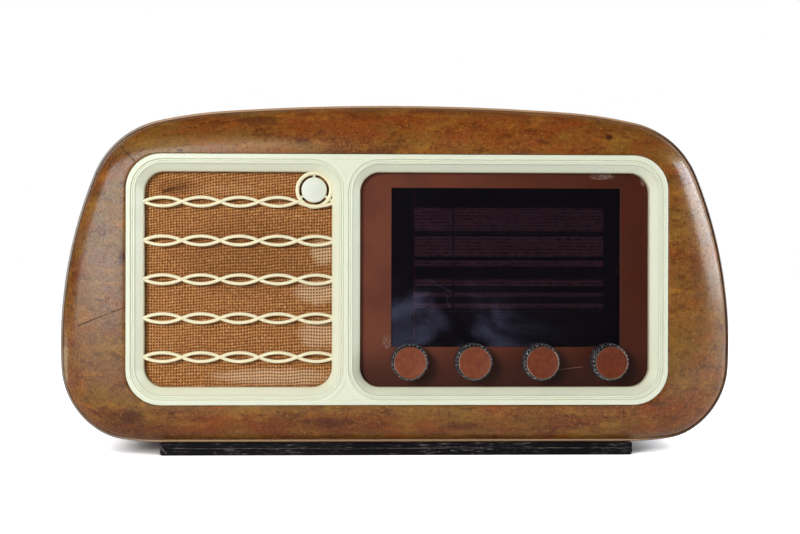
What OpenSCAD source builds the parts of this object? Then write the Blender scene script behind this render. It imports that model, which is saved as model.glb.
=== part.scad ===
// Table radio receiver with a bent plywood cabinet, a cream moulded escutcheon
// with a wave grille, four controls along the dial and a cord-driven pointer.
// Millimetres. The front faces -Y, +Z is up and the runners stand on Z = 0.
// Depths are written from the escutcheon's front land, positive to the back.

/* [Cabinet outline] */
// Radius of the crown over the middle of the top
crown_r = 2150; // [2050:10:2250]
// Angle that the crown turns on each side of the middle
crown_angle = 4; // [3.8:0.1:4.2]
// Radius of the shoulder beside the crown
shoulder_r = 365; // [350:5:400]
// Angle that the shoulder turns
shoulder_angle = 9; // [8:0.5:10]
// Radius of the upper corner
corner_r = 78; // [74:1:84]
// Angle that the upper corner turns
corner_angle = 55; // [54:0.5:56]
// Radius of the long side
side_r = 388; // [380:2:400]
// Angle that the side turns
side_angle = 25; // [24.5:0.5:26]
// Radius of the lower corner
foot_r = 74; // [70:1:80]
// Angle that the lower corner turns
foot_angle = 60; // [58:0.5:62]
// Radius of the heel that runs into the flat bottom
heel_r = 26; // [22:1:30]

/* [Cabinet] */
// Gap from the chassis to the battens of the back cover
back_gap = 2.8; // [2:0.2:6]
// Thickness of the plywood wrap
ply_t = 9; // [7:0.5:11]
// Thickness of the wrap's lip around the front surround
lip_t = 3.2; // [2.5:0.1:4]
// How far the lip stands in front of the surround's rim
lip_proud = 1; // [0.5:0.1:2]
// How far the surround rolls back from the escutcheon to the rim
roll_drop = 18.5; // [14:0.5:22]
// Step from the escutcheon's land down to the surround
surround_set = 1.5; // [1:0.1:3]
// Thickness of the surround at its rim
rim_t = 9; // [8:0.5:12]
// Thickness of the surround around the escutcheon
surround_t = 13.5; // [13.5:0.5:16]
// Height of the runners under the cabinet
runner_h = 11; // [9:1:14]
// Length of the runners
runner_len = 408; // [360:4:420]
// Depth of each runner
runner_d = 18; // [14:1:22]
// Radius of the runners' lower corners
runner_r = 5; // [2:0.5:7]
// How far the front runner stands before the cabinet's rim
runner_fore = 5; // [0:0.5:8]
// Thickness of the back cover
cover_t = 3; // [2:0.5:4]
// How far the back cover lies inside the wrap's rear edge
cover_set = 5; // [4:0.5:8]
// Width of the battens that carry the back cover
batten_w = 10; // [8:1:12]
// Depth of the battens that carry the back cover
batten_d = 10; // [8:1:11]

/* [Escutcheon] */
// Width of the escutcheon beside the windows
side_border = 14; // [13.5:0.5:15]
// Height of the escutcheon over and under the windows
top_border = 14.5; // [14:0.5:16]
// Radius of the escutcheon's corners
esc_r = 30; // [26:1:34]
// Height of the escutcheon's centre over the floor
esc_z = 151.5; // [150:0.5:153]
// Thickness of the escutcheon's land
land_t = 5; // [4:0.5:6]
// Depth of the escutcheon from its land to its back
esc_d = 13.8; // [13.5:0.1:14.2]
// Width of the grille window
grille_w = 160; // [158:1:162]
// Width of the dial window
dial_w = 249; // [246:1:251]
// Height of both windows
window_h = 184; // [182:1:186]
// Radius of the windows' corners
window_r = 17; // [15:0.5:20]
// Width of the mullion between the windows
mullion_w = 24; // [23:0.5:26]
// Width of the sloping wall around a window
slope_w = 5.4; // [5:0.1:6.5]
// Width of one reed around a window
reed_w = 2; // [1.8:0.1:2.2]
// Width of the groove between the reeds and the land
groove_w = 0.6; // [0.5:0.1:0.8]
// Depth of the reeds' foot and the groove below the land
reed_set = 2.2; // [1.6:0.1:2.6]
// Depth of the slope's foot at the window's edge
slope_foot = 11.4; // [10.5:0.1:12]
// Depth of the three-cornered recesses over and under the mullion
recess_d = 0.7; // [0.4:0.1:1.2]

/* [Grille] */
// Number of wave bars
bar_count = 5; // [4:1:6]
// Distance from bar to bar
bar_pitch = 33.4; // [30:0.2:35]
// Number of lenses in each bar
lens_count = 5; // [3:1:7]
// Height of a lens over both strands
lens_h = 10.7; // [9:0.1:12]
// Thickness of a strand
strand_t = 3.4; // [2.8:0.1:4]
// Depth of the bars' front below the land
bar_front = 9.2; // [8.6:0.1:10]
// Depth of the bars from front to back
bar_d = 4; // [3:0.1:4.4]
// Outer radius of the eye ring
eye_r = 16; // [15:0.5:17]
// Width of the eye ring's wall
eye_wall = 3.2; // [2.5:0.1:4]
// Radius of the knock-out disc in the eye ring
disc_r = 10.8; // [9:0.1:11.2]
// Distance of the eye ring's centre from the window's top and side
eye_set = 15.4; // [15:0.1:16]

/* [Dial] */
// Width of the opening over the dial glass
glass_w = 198; // [190:1:202]
// Height of the opening over the dial glass
glass_h = 137; // [130:1:140]
// Distance of the glass opening's centre from the dial window's centre
glass_x = 1.5; // [0:0.5:3]
// Height of the glass opening's centre over the dial window's centre
glass_z = 10.5; // [9:0.5:12]
// How far the glass reaches behind the panel at the sides
glass_lap = 4; // [2:0.5:6]
// How far the glass reaches behind the panel above and below
glass_seat = 2.5; // [1.5:0.5:3]
// Thickness of the glass
glass_t = 3; // [2:0.5:4]
// Thickness of the panel around the glass
panel_t = 1.2; // [0.8:0.1:1.5]
// Thickness of the baffle board
baffle_t = 6; // [5:0.5:8]
// Gap from the baffle board to the scale plate
scale_gap = 13; // [12:0.5:15]
// Thickness of the scale plate
scale_t = 1.2; // [1:0.1:1.5]
// Travel of the pointer
pointer_travel = 157; // [140:1:158]
// Width of the needle
needle_w = 1.4; // [1:0.1:2]

/* [Controls] */
// Height of the control shafts over the floor
shaft_z = 81.5; // [80.5:0.5:82.5]
// Place of the volume shaft from the dial window's middle
volume_set = -82.2; // [-84:0.1:-80]
// Place of the tone shaft from the dial window's middle
tone_set = -27.5; // [-30:0.1:-25]
// Place of the band shaft from the dial window's middle
band_set = 30.1; // [28:0.1:32]
// Place of the tuning shaft from the dial window's middle
tuning_set = 88.9; // [87:0.1:91]
// Radius of the control shafts
shaft_r = 3; // [2.5:0.1:3.2]
// Radius of a knob at its skirt
knob_r = 16; // [14.5:0.1:16.5]
// Depth of a knob
knob_d = 18; // [16:0.5:20]
// Radius of a knob's face disc
face_r = 13.7; // [12.5:0.1:14.2]
// Number of flutes around a knob
flutes = 26; // [18:1:32]
// Depth of a flute
flute_d = 0.9; // [0.5:0.1:1.2]
// Gap from a knob to the dial panel
knob_gap = 1; // [0.6:0.1:2]

/* [Tuning drive] */
// Radius at which the cord runs on the drum
drum_r = 50; // [46:0.5:50.5]
// Radius at which the cord runs on the tuning spindle
spindle_r = 4; // [3.8:0.1:5]
// Radius at which the cord runs on a pulley
pulley_r = 5; // [4.5:0.1:5.5]
// Diameter of the drive cord
cord_d = 1; // [0.8:0.1:1.2]
// Height of the capacitor shaft over the floor
rotor_z = 142; // [141.5:0.5:146]
// Radius of the rotor vanes
vane_r = 22; // [18:0.5:23]
// Number of rotor vanes in each gang
vane_count = 7; // [5:1:8]
// Distance from vane to vane
vane_pitch = 3; // [2.6:0.1:3.2]
// Thickness of a vane
vane_t = 0.7; // [0.5:0.1:0.9]
// Radius of the pointer's rail
rail_r = 1.5; // [1.2:0.1:2]

/* [Chassis] */
// Width of the chassis
chassis_w = 278; // [270:1:284]
// Depth of the chassis
chassis_d = 150; // [145:1:152]
// Height of the chassis
chassis_h = 72; // [70:1:73]
// Thickness of the chassis sheet
sheet_t = 1.5; // [1:0.1:2]
// Place of the chassis's middle from the dial window's middle
chassis_set = -1; // [-4:1:0]
// Height of the wooden bearers under the chassis
bearer_h = 12; // [11:0.5:13]
// Radius of the valves' glass envelopes
valve_r = 10.5; // [9:0.5:12]
// Height of a valve over its base
valve_h = 52; // [44:1:60]

/* [Loudspeaker] */
// Outer radius of the loudspeaker
speaker_r = 82.5; // [80:0.5:84]
// Width of the loudspeaker's mounting flange
flange_w = 7.5; // [7:0.5:9]
// Depth of the basket behind the baffle board
basket_d = 47; // [44:1:52]
// Radius of the magnet pot
magnet_r = 32; // [28:1:38]
// Depth of the magnet pot
magnet_d = 44; // [36:1:54]
// Radius of the voice coil
coil_r = 13; // [12:0.5:14]

/* [Hidden] */

// Clearances: seat is a hairline between fixed pieces, run is a bearing's
// radial clearance, loose is a gap that moving faces keep from each other.
seat = 0.4;
run = 0.05;
loose = 0.3;
outline_sag = 0.06;
$fn = 64;

// Depths from the land, front to back.
rim_y = surround_set + roll_drop;
wrap_y = rim_y + rim_t;
surround_back = surround_set + surround_t;
baffle_y = surround_back;
baffle_back = baffle_y + baffle_t;
panel_y = baffle_y - panel_t;
knob_back = panel_y - knob_gap;
knob_front = knob_back - knob_d;
scale_y = baffle_back + scale_gap;
cord_y = scale_y + scale_t + 8;
drum_half = 3;
chassis_y = cord_y + 11;
chassis_back = chassis_y + chassis_d;
batten_y = chassis_back + back_gap;
cover_y = batten_y + batten_d;
back_y = cover_y + cover_t + cover_set;
mid_y = (back_y + knob_front) / 2;

// Chain of tangent arcs from the top's middle down to the flat bottom.
arcs = [
  [crown_r, crown_angle], [shoulder_r, shoulder_angle], [corner_r, corner_angle],
  [side_r, side_angle], [foot_r, foot_angle],
  [heel_r, 180 - crown_angle - shoulder_angle - corner_angle - side_angle - foot_angle]
];
function turned(i) = i == 0 ? 0 : turned(i - 1) + arcs[i - 1][1];
function hub(i) = i == 0 ? [0, -crown_r]
  : hub(i - 1) + (arcs[i - 1][0] - arcs[i][0]) * [sin(turned(i)), cos(turned(i))];
function arc_steps(i) = ceil(arcs[i][1] / sqrt(8 * outline_sag / arcs[i][0]) * PI / 180);
hubs = [for (i = [0:5]) hub(i)];
starts = [for (i = [0:5]) turned(i)];
wood_h = heel_r - hubs[5][1];
top_z = runner_h + wood_h;
floor_z = runner_h + ply_t;
function on_arc(i, angle, inset) =
  hubs[i] + [0, top_z] + (arcs[i][0] - inset) * [sin(angle), cos(angle)];
// Point of the outline whose normal leans by angle from the vertical.
function arc_of(angle, i = 0) = i == 5 || angle <= starts[i + 1] ? i : arc_of(angle, i + 1);
function on_outline(angle, inset) = on_arc(arc_of(angle), angle, inset);
function half_outline(inset) = concat(
  [[0, top_z - inset]],
  [for (i = [0:5]) for (k = [1:arc_steps(i)])
    on_arc(i, starts[i] + arcs[i][1] * k / arc_steps(i), inset)]
);
function outline(inset) = let (half = half_outline(inset), n = len(half))
  concat(half, [for (k = [n - 1:-1:1]) [-half[k][0], half[k][1]]]);

// Windows of the escutcheon, centred together on the cabinet.
windows_w = grille_w + mullion_w + dial_w;
esc_w = windows_w + 2 * side_border;
esc_h = window_h + 2 * top_border;
grille_x = (grille_w - windows_w) / 2;
dial_x = (windows_w - dial_w) / 2;
mullion_x = grille_x + (grille_w + mullion_w) / 2;
glass_cx = dial_x + glass_x;
volume_x = dial_x + volume_set;
tone_x = dial_x + tone_set;
band_x = dial_x + band_set;
tuning_x = dial_x + tuning_set;
chassis_x = dial_x + chassis_set;
glass_cz = esc_z + glass_z;
reach = slope_w + 2 * reed_w + groove_w;
eye_x = grille_x + grille_w / 2 - eye_set;
eye_z = esc_z + window_h / 2 - eye_set;

// Floor and deck levels inside the cabinet.
bearer_top = floor_z + bearer_h;
deck_z = bearer_top + chassis_h;
rotor_x = (tone_x + band_x) / 2;
pointer_left = rotor_x - pointer_travel / 2;
pulley_z = esc_z + 88.5;
pulley_half = (glass_w + 2 * glass_lap) / 2 + 7;
rail_z = pulley_z - 1;
shaft_hole_r = shaft_r + 0.6;
bush_r = shaft_r + 1.7;
bush_front = chassis_y - 8;

// Slab of a flat shape drawn in X and Z, from depth y0 to y1.
module slab(y0, y1) {
  translate([0, y1, 0]) rotate([90, 0, 0]) linear_extrude(y1 - y0) children();
}

// Round bar along Y.
module bar(x, z, y0, y1, r) {
  translate([x, y1, z]) rotate([90, 0, 0]) cylinder(h = y1 - y0, r = r);
}

// Turned shape about an axis along Y: the profile is [radius, depth].
module lathe(x, z) {
  translate([x, 0, z]) rotate([-90, 0, 0]) rotate_extrude() children();
}

// Turned shape about an upright axis: the profile is [radius, height].
module turret(x, y, z) {
  translate([x, y, z]) rotate_extrude() children();
}

// Flat rectangle with round corners, centred.
module rounded(w, h, r) {
  square([w - 2 * r, h], center = true);
  square([w, h - 2 * r], center = true);
  for (sx = [-1, 1]) for (sz = [-1, 1])
    translate([sx * (w / 2 - r), sz * (h / 2 - r)]) circle(r = r);
}

// Block from corner to corner.
module block(low, high) {
  translate(low) cube(high - low);
}

// Everything is drawn from the land and moved so that the depth is centred.
module placed() {
  translate([0, -mid_y, 0]) children();
}

// Bent plywood wrap: a full wall behind the surround and a thin lip round it.
module cabinet_shell() {
  color("saddlebrown") placed() difference() {
    union() {
      slab(wrap_y, back_y) difference() {
        polygon(outline(0));
        polygon(outline(ply_t));
      }
      slab(rim_y - lip_proud, wrap_y) difference() {
        polygon(outline(0));
        polygon(outline(lip_t));
      }
    }
    for (p = bolt_places) translate([p[0], p[1], 0]) cylinder(h = floor_z + 1, r = bolt_r + 0.2);
  }
}

// Point where a ray from the escutcheon's centre meets a rounded rectangle.
function rect_reach(d, w, h, r) = let (
  u = [abs(d[0]), abs(d[1])] / norm(d),
  side = u[0] > 0 ? w / 2 / u[0] : 1e6,
  top = u[1] > 0 ? h / 2 / u[1] : 1e6,
  c = [w / 2 - r, h / 2 - r],
  along = u * c
) side * u[1] <= c[1] ? side : top * u[0] <= c[0] ? top
  : along + sqrt(along * along - c * c + r * r);

// Front surround: lofted from the escutcheon's opening out to the lip, flat at
// first and rolling back towards the rim.
roll_steps = 8;
roll_end = 76;
function roll_share(k) = sin(k * roll_end / roll_steps) / sin(roll_end);
function roll_y(k) = surround_set
  + roll_drop * (1 - cos(k * roll_end / roll_steps)) / (1 - cos(roll_end));
roll_profile = concat(
  [for (k = [0:roll_steps]) [roll_share(k), roll_y(k)]],
  [for (k = [roll_steps:-1:0]) [roll_share(k), max(surround_back, roll_y(k) + rim_t)]]
);
surround_rim = outline(lip_t + seat);
surround_edge = [for (p = surround_rim) let (d = p - [0, esc_z])
  [0, esc_z] + d / norm(d) * rect_reach(d, esc_w + 2 * seat, esc_h + 2 * seat, esc_r + seat)];
function surround_line(share) = [for (i = [0:len(surround_rim) - 1])
  surround_edge[i] + (surround_rim[i] - surround_edge[i]) * share];
module front_surround() {
  n = len(surround_rim);
  m = len(roll_profile);
  points = [for (i = [0:n - 1]) for (q = roll_profile)
    let (p = surround_edge[i] + (surround_rim[i] - surround_edge[i]) * q[0]) [p[0], q[1], p[1]]];
  faces = [for (i = [0:n - 1]) for (j = [0:m - 1])
    let (a = i * m + j, b = i * m + (j + 1) % m,
      c = (i + 1) % n * m + (j + 1) % m, d = (i + 1) % n * m + j)
    each [[a, b, c], [a, c, d]]];
  color("sienna") placed() polyhedron(points, faces);
}

// Dark runner with rounded lower corners, glued under the cabinet's floor.
module runner(y0) {
  slab(y0, y0 + runner_d) difference() {
    translate([-runner_len / 2, 0]) square([runner_len, runner_h]);
    for (s = [-1, 1]) translate([s * runner_len / 2, 0]) difference() {
      square(2 * runner_r, center = true);
      translate([-s * runner_r, runner_r]) circle(r = runner_r);
    }
  }
}
runner_set = 8;
module front_runner() color("dimgray") placed() runner(rim_y - runner_fore);
module rear_runner() color("dimgray") placed() runner(back_y - runner_set - runner_d);

// Ring of battens inside the wrap, against which the back cover is screwed.
screw_angles = [22, 58, 84, 128];
screw_r = 1.5;
module screw_places() {
  for (a = screw_angles) for (s = [-1, 1])
    let (p = on_outline(a, ply_t + batten_w / 2)) translate([s * p[0], p[1]]) children();
}
module back_battens() {
  color("burlywood") placed() slab(batten_y, cover_y) difference() {
    polygon(outline(ply_t));
    polygon(outline(ply_t + batten_w));
    screw_places() circle(r = screw_r + run);
  }
}

// Fibreboard back with rows of slots, a cord hole and a cut-out for the sockets.
slot_w = 5;
slot_h = 34;
slot_pitch = 13;
grommet_x = -20;
grommet_z = deck_z - 40;
grommet_hole = 6;
socket_x = 75;
socket_z = deck_z - 30;
socket_gap = 22;
socket_plate = [54, 24];
module slot_row(x, z, count) {
  for (k = [0:count - 1]) translate([x + (k - (count - 1) / 2) * slot_pitch, z]) {
    square([slot_w, slot_h], center = true);
    for (s = [-1, 1]) translate([0, s * slot_h / 2]) circle(r = slot_w / 2);
  }
}
module back_cover() {
  color("peru") placed() slab(cover_y, cover_y + cover_t) difference() {
    polygon(outline(ply_t + seat));
    slot_row(rotor_x, deck_z + 55, 15);
    slot_row(rotor_x, deck_z + 105, 15);
    slot_row(grille_x, deck_z + 30, 9);
    slot_row(grille_x, deck_z + 80, 9);
    translate([grommet_x, grommet_z]) circle(r = grommet_hole);
    translate([socket_x, socket_z]) rounded(socket_plate[0], socket_plate[1], 4);
    screw_places() circle(r = screw_r + seat);
  }
}
module back_screws() {
  color("silver") placed() for (a = screw_angles) for (s = [-1, 1])
    let (p = on_outline(a, ply_t + batten_w / 2)) {
      bar(s * p[0], p[1], cover_y - 8, cover_y + cover_t, screw_r);
      bar(s * p[0], p[1], cover_y + cover_t, cover_y + cover_t + 1.8, 3);
    }
}

// Cross-section of the moulding round a window: [distance out, depth].
reed_foot = slope_w;
band = 1;
wall_t = 2.6;
function reed(start) = [for (t = [0:30:180])
  [start + reed_w / 2 * (1 - cos(t)), reed_set - reed_w / 2 * sin(t)]];
mould = concat(
  [[0, esc_d], [0, slope_foot]],
  reed(reed_foot), reed(reed_foot + reed_w),
  [[reach, reed_set], [reach, 0], [reach + band, 0], [reach + band, land_t],
    [slope_w + 1.5, land_t], [wall_t, esc_d]]
);

// The moulding swept round a window: four straight runs and four corners.
module window_mould(w, h, r) {
  for (k = [0:3]) rotate([0, 90 * k, 0]) {
    along = k % 2 == 0 ? w : h;
    across = k % 2 == 0 ? h : w;
    translate([r - along / 2, 0, across / 2]) rotate([90, 0, 90])
      linear_extrude(along - 2 * r) polygon([for (p = mould) [p[1], p[0]]]);
    translate([along / 2 - r, 0, across / 2 - r]) rotate([90, 0, 0])
      rotate_extrude(angle = 90) polygon([for (p = mould) [r + p[0], -p[1]]]);
  }
}

// One bar: two waves in opposite phase, joined where they cross.
wave_steps = 12;
function wave_x(k) = (k / wave_steps - lens_count / 2) * grille_w / lens_count;
function wave(k, phase) = phase * (lens_h - strand_t) / 2 * sin(k * 180 / wave_steps);
bar_tail = 2.4;
bar_ends = wave_steps * lens_count;
module strand(phase) {
  polygon(concat(
    [for (k = [0:bar_ends]) [wave_x(k), wave(k, phase) + strand_t / 2]],
    [for (k = [bar_ends:-1:0]) [wave_x(k), wave(k, phase) - strand_t / 2]]
  ));
}
module wave_bar() {
  strand(1);
  strand(-1);
  for (s = [-1, 1]) translate([s * (grille_w + bar_tail) / 2, 0])
    square([bar_tail + 1, strand_t], center = true);
}

// Eye ring with a knock-out disc held by three small bridges.
bridge_w = 2.2;
module eye_rings() {
  difference() {
    circle(r = eye_r);
    circle(r = eye_r - eye_wall);
  }
  circle(r = disc_r);
  for (a = [90, 210, 330]) rotate(a) translate([disc_r - 0.5, -bridge_w / 2])
    square([eye_r - eye_wall - disc_r + 1, bridge_w]);
}

// Escutcheon: land, two moulded windows, bars and eye ring in one moulding.
boss_r = 3;
boss_x = esc_w / 2 - boss_r - 1.6;
boss_z = window_h / 3;
module window_half(side) {
  translate([mullion_x + side * esc_w / 2, esc_z]) square([esc_w, esc_h], center = true);
}
module land() {
  difference() {
    translate([0, esc_z]) rounded(esc_w, esc_h, esc_r);
    intersection() {
      translate([grille_x, esc_z]) rounded(grille_w + 2 * reach + band, window_h + 2 * reach + band,
        window_r + reach + band / 2);
      window_half(-1);
    }
    intersection() {
      translate([dial_x, esc_z]) rounded(dial_w + 2 * reach + band, window_h + 2 * reach + band,
        window_r + reach + band / 2);
      window_half(1);
    }
  }
}
// Three-cornered recesses between the bands of land that follow both windows
// and the edge.
edge_band = [side_border - reach, top_border - reach];
module banded(x, w) {
  translate([x, esc_z]) rounded(w + 2 * (reach + edge_band[0]), window_h + 2 * (reach + edge_band[0]),
    window_r + reach + edge_band[0]);
}
module recesses() {
  intersection() {
    translate([mullion_x, esc_z]) square([3 * mullion_w, esc_h - 2 * edge_band[1]], center = true);
    difference() {
      square(4 * esc_w, center = true);
      banded(grille_x, grille_w);
      banded(dial_x, dial_w);
    }
  }
}
module escutcheon() {
  color("ivory") placed() {
    difference() {
      slab(0, land_t) land();
      slab(-1, recess_d) recesses();
    }
    intersection() {
      translate([grille_x, 0, esc_z]) window_mould(grille_w, window_h, window_r);
      slab(-1, esc_d + 1) window_half(-1);
    }
    intersection() {
      translate([dial_x, 0, esc_z]) window_mould(dial_w, window_h, window_r);
      slab(-1, esc_d + 1) window_half(1);
    }
    slab(bar_front, bar_front + bar_d) difference() {
      for (k = [0:bar_count - 1])
        translate([grille_x, esc_z + (k - (bar_count - 1) / 2) * bar_pitch]) wave_bar();
      translate([eye_x, eye_z]) circle(r = eye_r - 0.5);
    }
    slab(bar_front, bar_front + bar_d)
      translate([grille_x, esc_z + (bar_count - 1) / 2 * bar_pitch]) strand(-1);
    slab(bar_front - 1, bar_front + bar_d) translate([eye_x, eye_z]) eye_rings();
    for (sx = [-1, 1]) for (sz = [-1, 1])
      bar(sx * boss_x, esc_z + sz * boss_z, land_t, baffle_y, boss_r);
  }
}

// Woven cloth stretched over the baffle board behind the bars.
cloth_lap = 5;
module grille_cloth() {
  color("tan") placed() slab(panel_y, baffle_y)
    translate([grille_x, esc_z])
      rounded(grille_w + 2 * cloth_lap, window_h + 2 * cloth_lap, window_r + cloth_lap);
}

// Places of the four shafts, left to right.
shafts = [volume_x, tone_x, band_x, tuning_x];

// Plywood baffle with the loudspeaker's and dial's openings. It reaches as far
// as the surround's back is flat, which is where it is glued.
board_steps = 3;
basket_t = 1.2;
speaker_x = grille_x;
speaker_z = esc_z;
cone_r = speaker_r - flange_w - loose;
speaker_head_r = 2.6;
speaker_screw_r = speaker_r - flange_w + basket_t + loose + speaker_head_r;
module baffle_board() {
  color("wheat") placed() slab(baffle_y, baffle_back) difference() {
    polygon(surround_line(roll_share(board_steps)));
    translate([speaker_x, speaker_z]) circle(r = cone_r - 1.7);
    translate([glass_cx, glass_cz])
      square([glass_w + 2 * glass_lap + 2 * seat, glass_h + 2 * glass_seat + 2 * seat], center = true);
    for (x = shafts) translate([x, shaft_z]) circle(r = shaft_r + 2);
    for (k = [0:3]) translate([speaker_x, speaker_z]) rotate(45 + 90 * k)
      translate([speaker_screw_r, 0]) circle(r = screw_r + run);
  }
}

// Brown panel in the dial window, with the glass opening and four shaft holes.
module dial_panel() {
  color("brown") placed() slab(panel_y, baffle_y) difference() {
    translate([dial_x, esc_z])
      rounded(dial_w + 2 * cloth_lap, window_h + 2 * cloth_lap, window_r + cloth_lap);
    translate([glass_cx, glass_cz]) square([glass_w, glass_h], center = true);
    for (x = shafts) translate([x, shaft_z]) circle(r = shaft_hole_r);
  }
}

// Dark dial glass, laid in the baffle board's cut-out behind the panel.
module dial_glass() {
  color("midnightblue") placed() slab(baffle_y, baffle_y + glass_t)
    translate([glass_cx, glass_cz])
      square([glass_w + 2 * glass_lap, glass_h + 2 * glass_seat], center = true);
}

// Painted scale plate behind the glass, with ears that carry the pulleys and
// folded tabs that carry the pointer's rail.
ear_w = 12;
ear_h = 20;
ear_lap = 3;
plate_half = pulley_half + ear_w / 2;
plate_set = 11;
plate_low = shaft_z + plate_set;
plate_high = rail_z - 5;
tab_set = 14;
tab_half = pointer_travel / 2 + tab_set;
pin_r = 1.5;
spacer_x = pulley_half + 1;
spacer_set = [8, 9];
spacer_low = plate_low + spacer_set[0];
spacer_high = plate_high - spacer_set[1];
module scale_plate() {
  color("lightgray") placed() {
    slab(scale_y, scale_y + scale_t) difference() {
      union() {
        translate([glass_cx - plate_half, plate_low]) square([2 * plate_half, plate_high - plate_low]);
        for (s = [-1, 1]) translate([glass_cx + s * pulley_half, plate_high + ear_h / 2 - ear_lap])
          square([ear_w, ear_h], center = true);
      }
      for (s = [-1, 1]) for (z = [spacer_low, spacer_high])
        translate([glass_cx + s * spacer_x, z]) circle(r = screw_r + run);
    }
    for (s = [-1, 1]) {
      difference() {
        translate([rotor_x + s * tab_half - 0.75, scale_y, plate_high - 8])
          cube([1.5, cord_y + 4 - scale_y, rail_z + 4.6 - plate_high + 8]);
        translate([rotor_x, cord_y, rail_z]) rotate([0, 90, 0])
          cylinder(h = 2 * tab_half + 4, r = rail_r + run, center = true);
      }
      bar(glass_cx + s * pulley_half, pulley_z, scale_y + scale_t - 0.5, cord_y + pulley_t / 2 + loose, pin_r);
      bar(glass_cx + s * pulley_half, pulley_z, cord_y + pulley_t / 2 + loose,
        cord_y + pulley_t / 2 + loose + 1, pin_r + 1.2);
      bar(glass_cx + s * pulley_half, pulley_z, scale_y + scale_t - 0.5,
        cord_y - pulley_t / 2 - loose, pin_r + 1.2);
    }
  }
}

// Tubes and screws that hold the scale plate off the baffle board.
module scale_spacers() {
  color("silver") placed() for (s = [-1, 1]) for (z = [spacer_low, spacer_high]) {
    bar(glass_cx + s * spacer_x, z, baffle_back, scale_y, 4);
    bar(glass_cx + s * spacer_x, z, scale_y, scale_y + scale_t, screw_r);
    bar(glass_cx + s * spacer_x, z, scale_y + scale_t, scale_y + scale_t + 1.8, 3);
  }
}

// Steel rod on which the pointer slides.
module pointer_rail() {
  color("silver") placed() translate([rotor_x - tab_half - 2, cord_y, rail_z])
    rotate([0, 90, 0]) cylinder(h = 2 * tab_half + 4, r = rail_r);
}

// Bulb holders clipped to the scale plate beside the glass, and their bulbs.
lamp_x = glass_w / 2 + glass_lap + 1;
lamp_rise = 20;
lamp_z = glass_cz + lamp_rise;
lamp_y = (baffle_back + scale_y) / 2;
bulb_r = 5;
module lamp_holders() {
  color("gold") placed() for (s = [-1, 1]) {
    translate([glass_cx + s * lamp_x, lamp_y, lamp_z - 22]) cylinder(h = 12, r = bulb_r);
    block([glass_cx + s * lamp_x - 4, lamp_y + bulb_r - 0.5, lamp_z - 26],
      [glass_cx + s * lamp_x + 4, scale_y, lamp_z - 10]);
  }
}
module dial_lamps() {
  color("lightyellow") placed() for (s = [-1, 1])
    turret(glass_cx + s * lamp_x, lamp_y, lamp_z - 10) polygon(concat(
      [[0, 0], [bulb_r - 1, 0], [bulb_r - 1, 3]],
      [for (a = [-50:10:90]) [bulb_r * cos(a), 8 + bulb_r * sin(a)]]
    ));
}

// Pointer: a carriage on the rail, an arm over the plate's edge and a needle.
carriage_w = 12;
carriage_half = 4.6;
needle_t = 1;
needle_y = baffle_back + 4;
needle_low = glass_cz - glass_h / 2 + 4;
module dial_pointer() {
  color("red") placed() {
    difference() {
      block([pointer_left - carriage_w / 2, cord_y - carriage_half, rail_z - 3.4],
        [pointer_left + carriage_w / 2, cord_y + carriage_half, pulley_z + pulley_r - cord_d / 2 - loose]);
      translate([pointer_left, cord_y, rail_z]) rotate([0, 90, 0])
        cylinder(h = carriage_w + 2, r = rail_r + run, center = true);
    }
    block([pointer_left - 2, needle_y, rail_z - 3.4],
      [pointer_left + 2, cord_y - carriage_half + 0.5, rail_z - 1.4]);
    block([pointer_left - needle_w / 2, needle_y, needle_low],
      [pointer_left + needle_w / 2, needle_y + needle_t, rail_z - 1.4]);
  }
}

// Grooved wheel with its cord groove centred on the cord's plane.
pulley_t = 4;
groove_half = 1.3;
module grooved(r, lip, bore) {
  polygon([[bore, cord_y - pulley_t / 2], [r + lip, cord_y - pulley_t / 2],
    [r + lip, cord_y - groove_half - 0.3], [r - cord_d / 2 - loose, cord_y - groove_half],
    [r - cord_d / 2 - loose, cord_y + groove_half], [r + lip, cord_y + groove_half + 0.3],
    [r + lip, cord_y + pulley_t / 2], [bore, cord_y + pulley_t / 2]]);
}
module left_pulley() color("gold") placed()
  lathe(glass_cx - pulley_half, pulley_z) grooved(pulley_r, 1.5, pin_r + run);
module right_pulley() color("gold") placed()
  lathe(glass_cx + pulley_half, pulley_z) grooved(pulley_r, 1.5, pin_r + run);

// Drive cord: one loop over the pulleys, round the spindle and round the drum,
// with a spare turn on the spindle and on the drum. Wheels are [x, z, radius].
wheels = [
  [glass_cx - pulley_half, pulley_z, pulley_r], [glass_cx + pulley_half, pulley_z, pulley_r],
  [tuning_x, shaft_z, spindle_r], [rotor_x, rotor_z, drum_r]
];
spare_turns = [0, 0, 1, 1];
lead = cord_d * 0.6;
leads = [[-lead, -lead], [-lead, -lead], [-lead, lead], [lead, -lead]];
cord_sag = 0.12;
function arc_rings(i, sweep) = ceil(sweep / sqrt(8 * cord_sag / wheels[i][2]) * PI / 180) + 2;
function heading(i) = let (a = wheels[i], b = wheels[(i + 1) % 4], l = [b[0] - a[0], b[1] - a[1]])
  atan2(l[1], l[0]) - asin((a[2] - b[2]) / norm(l));
function turn_back(a) = a < 0 ? turn_back(a + 360) : a >= 360 ? turn_back(a - 360) : a;
cord_path = [for (i = [0:3]) let (
    from = heading((i + 3) % 4) + 90,
    sweep = turn_back(from - heading(i) - 90) + 360 * spare_turns[i],
    rings = arc_rings(i, sweep)
  ) for (k = [0:rings]) let (
    share = k / rings,
    a = from - sweep * share,
    y = cord_y + leads[i][0] + (leads[i][1] - leads[i][0]) * share
  ) [wheels[i][0] + wheels[i][2] * cos(a), y, wheels[i][1] + wheels[i][2] * sin(a), a]];
cord_sides = 8;
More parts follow.
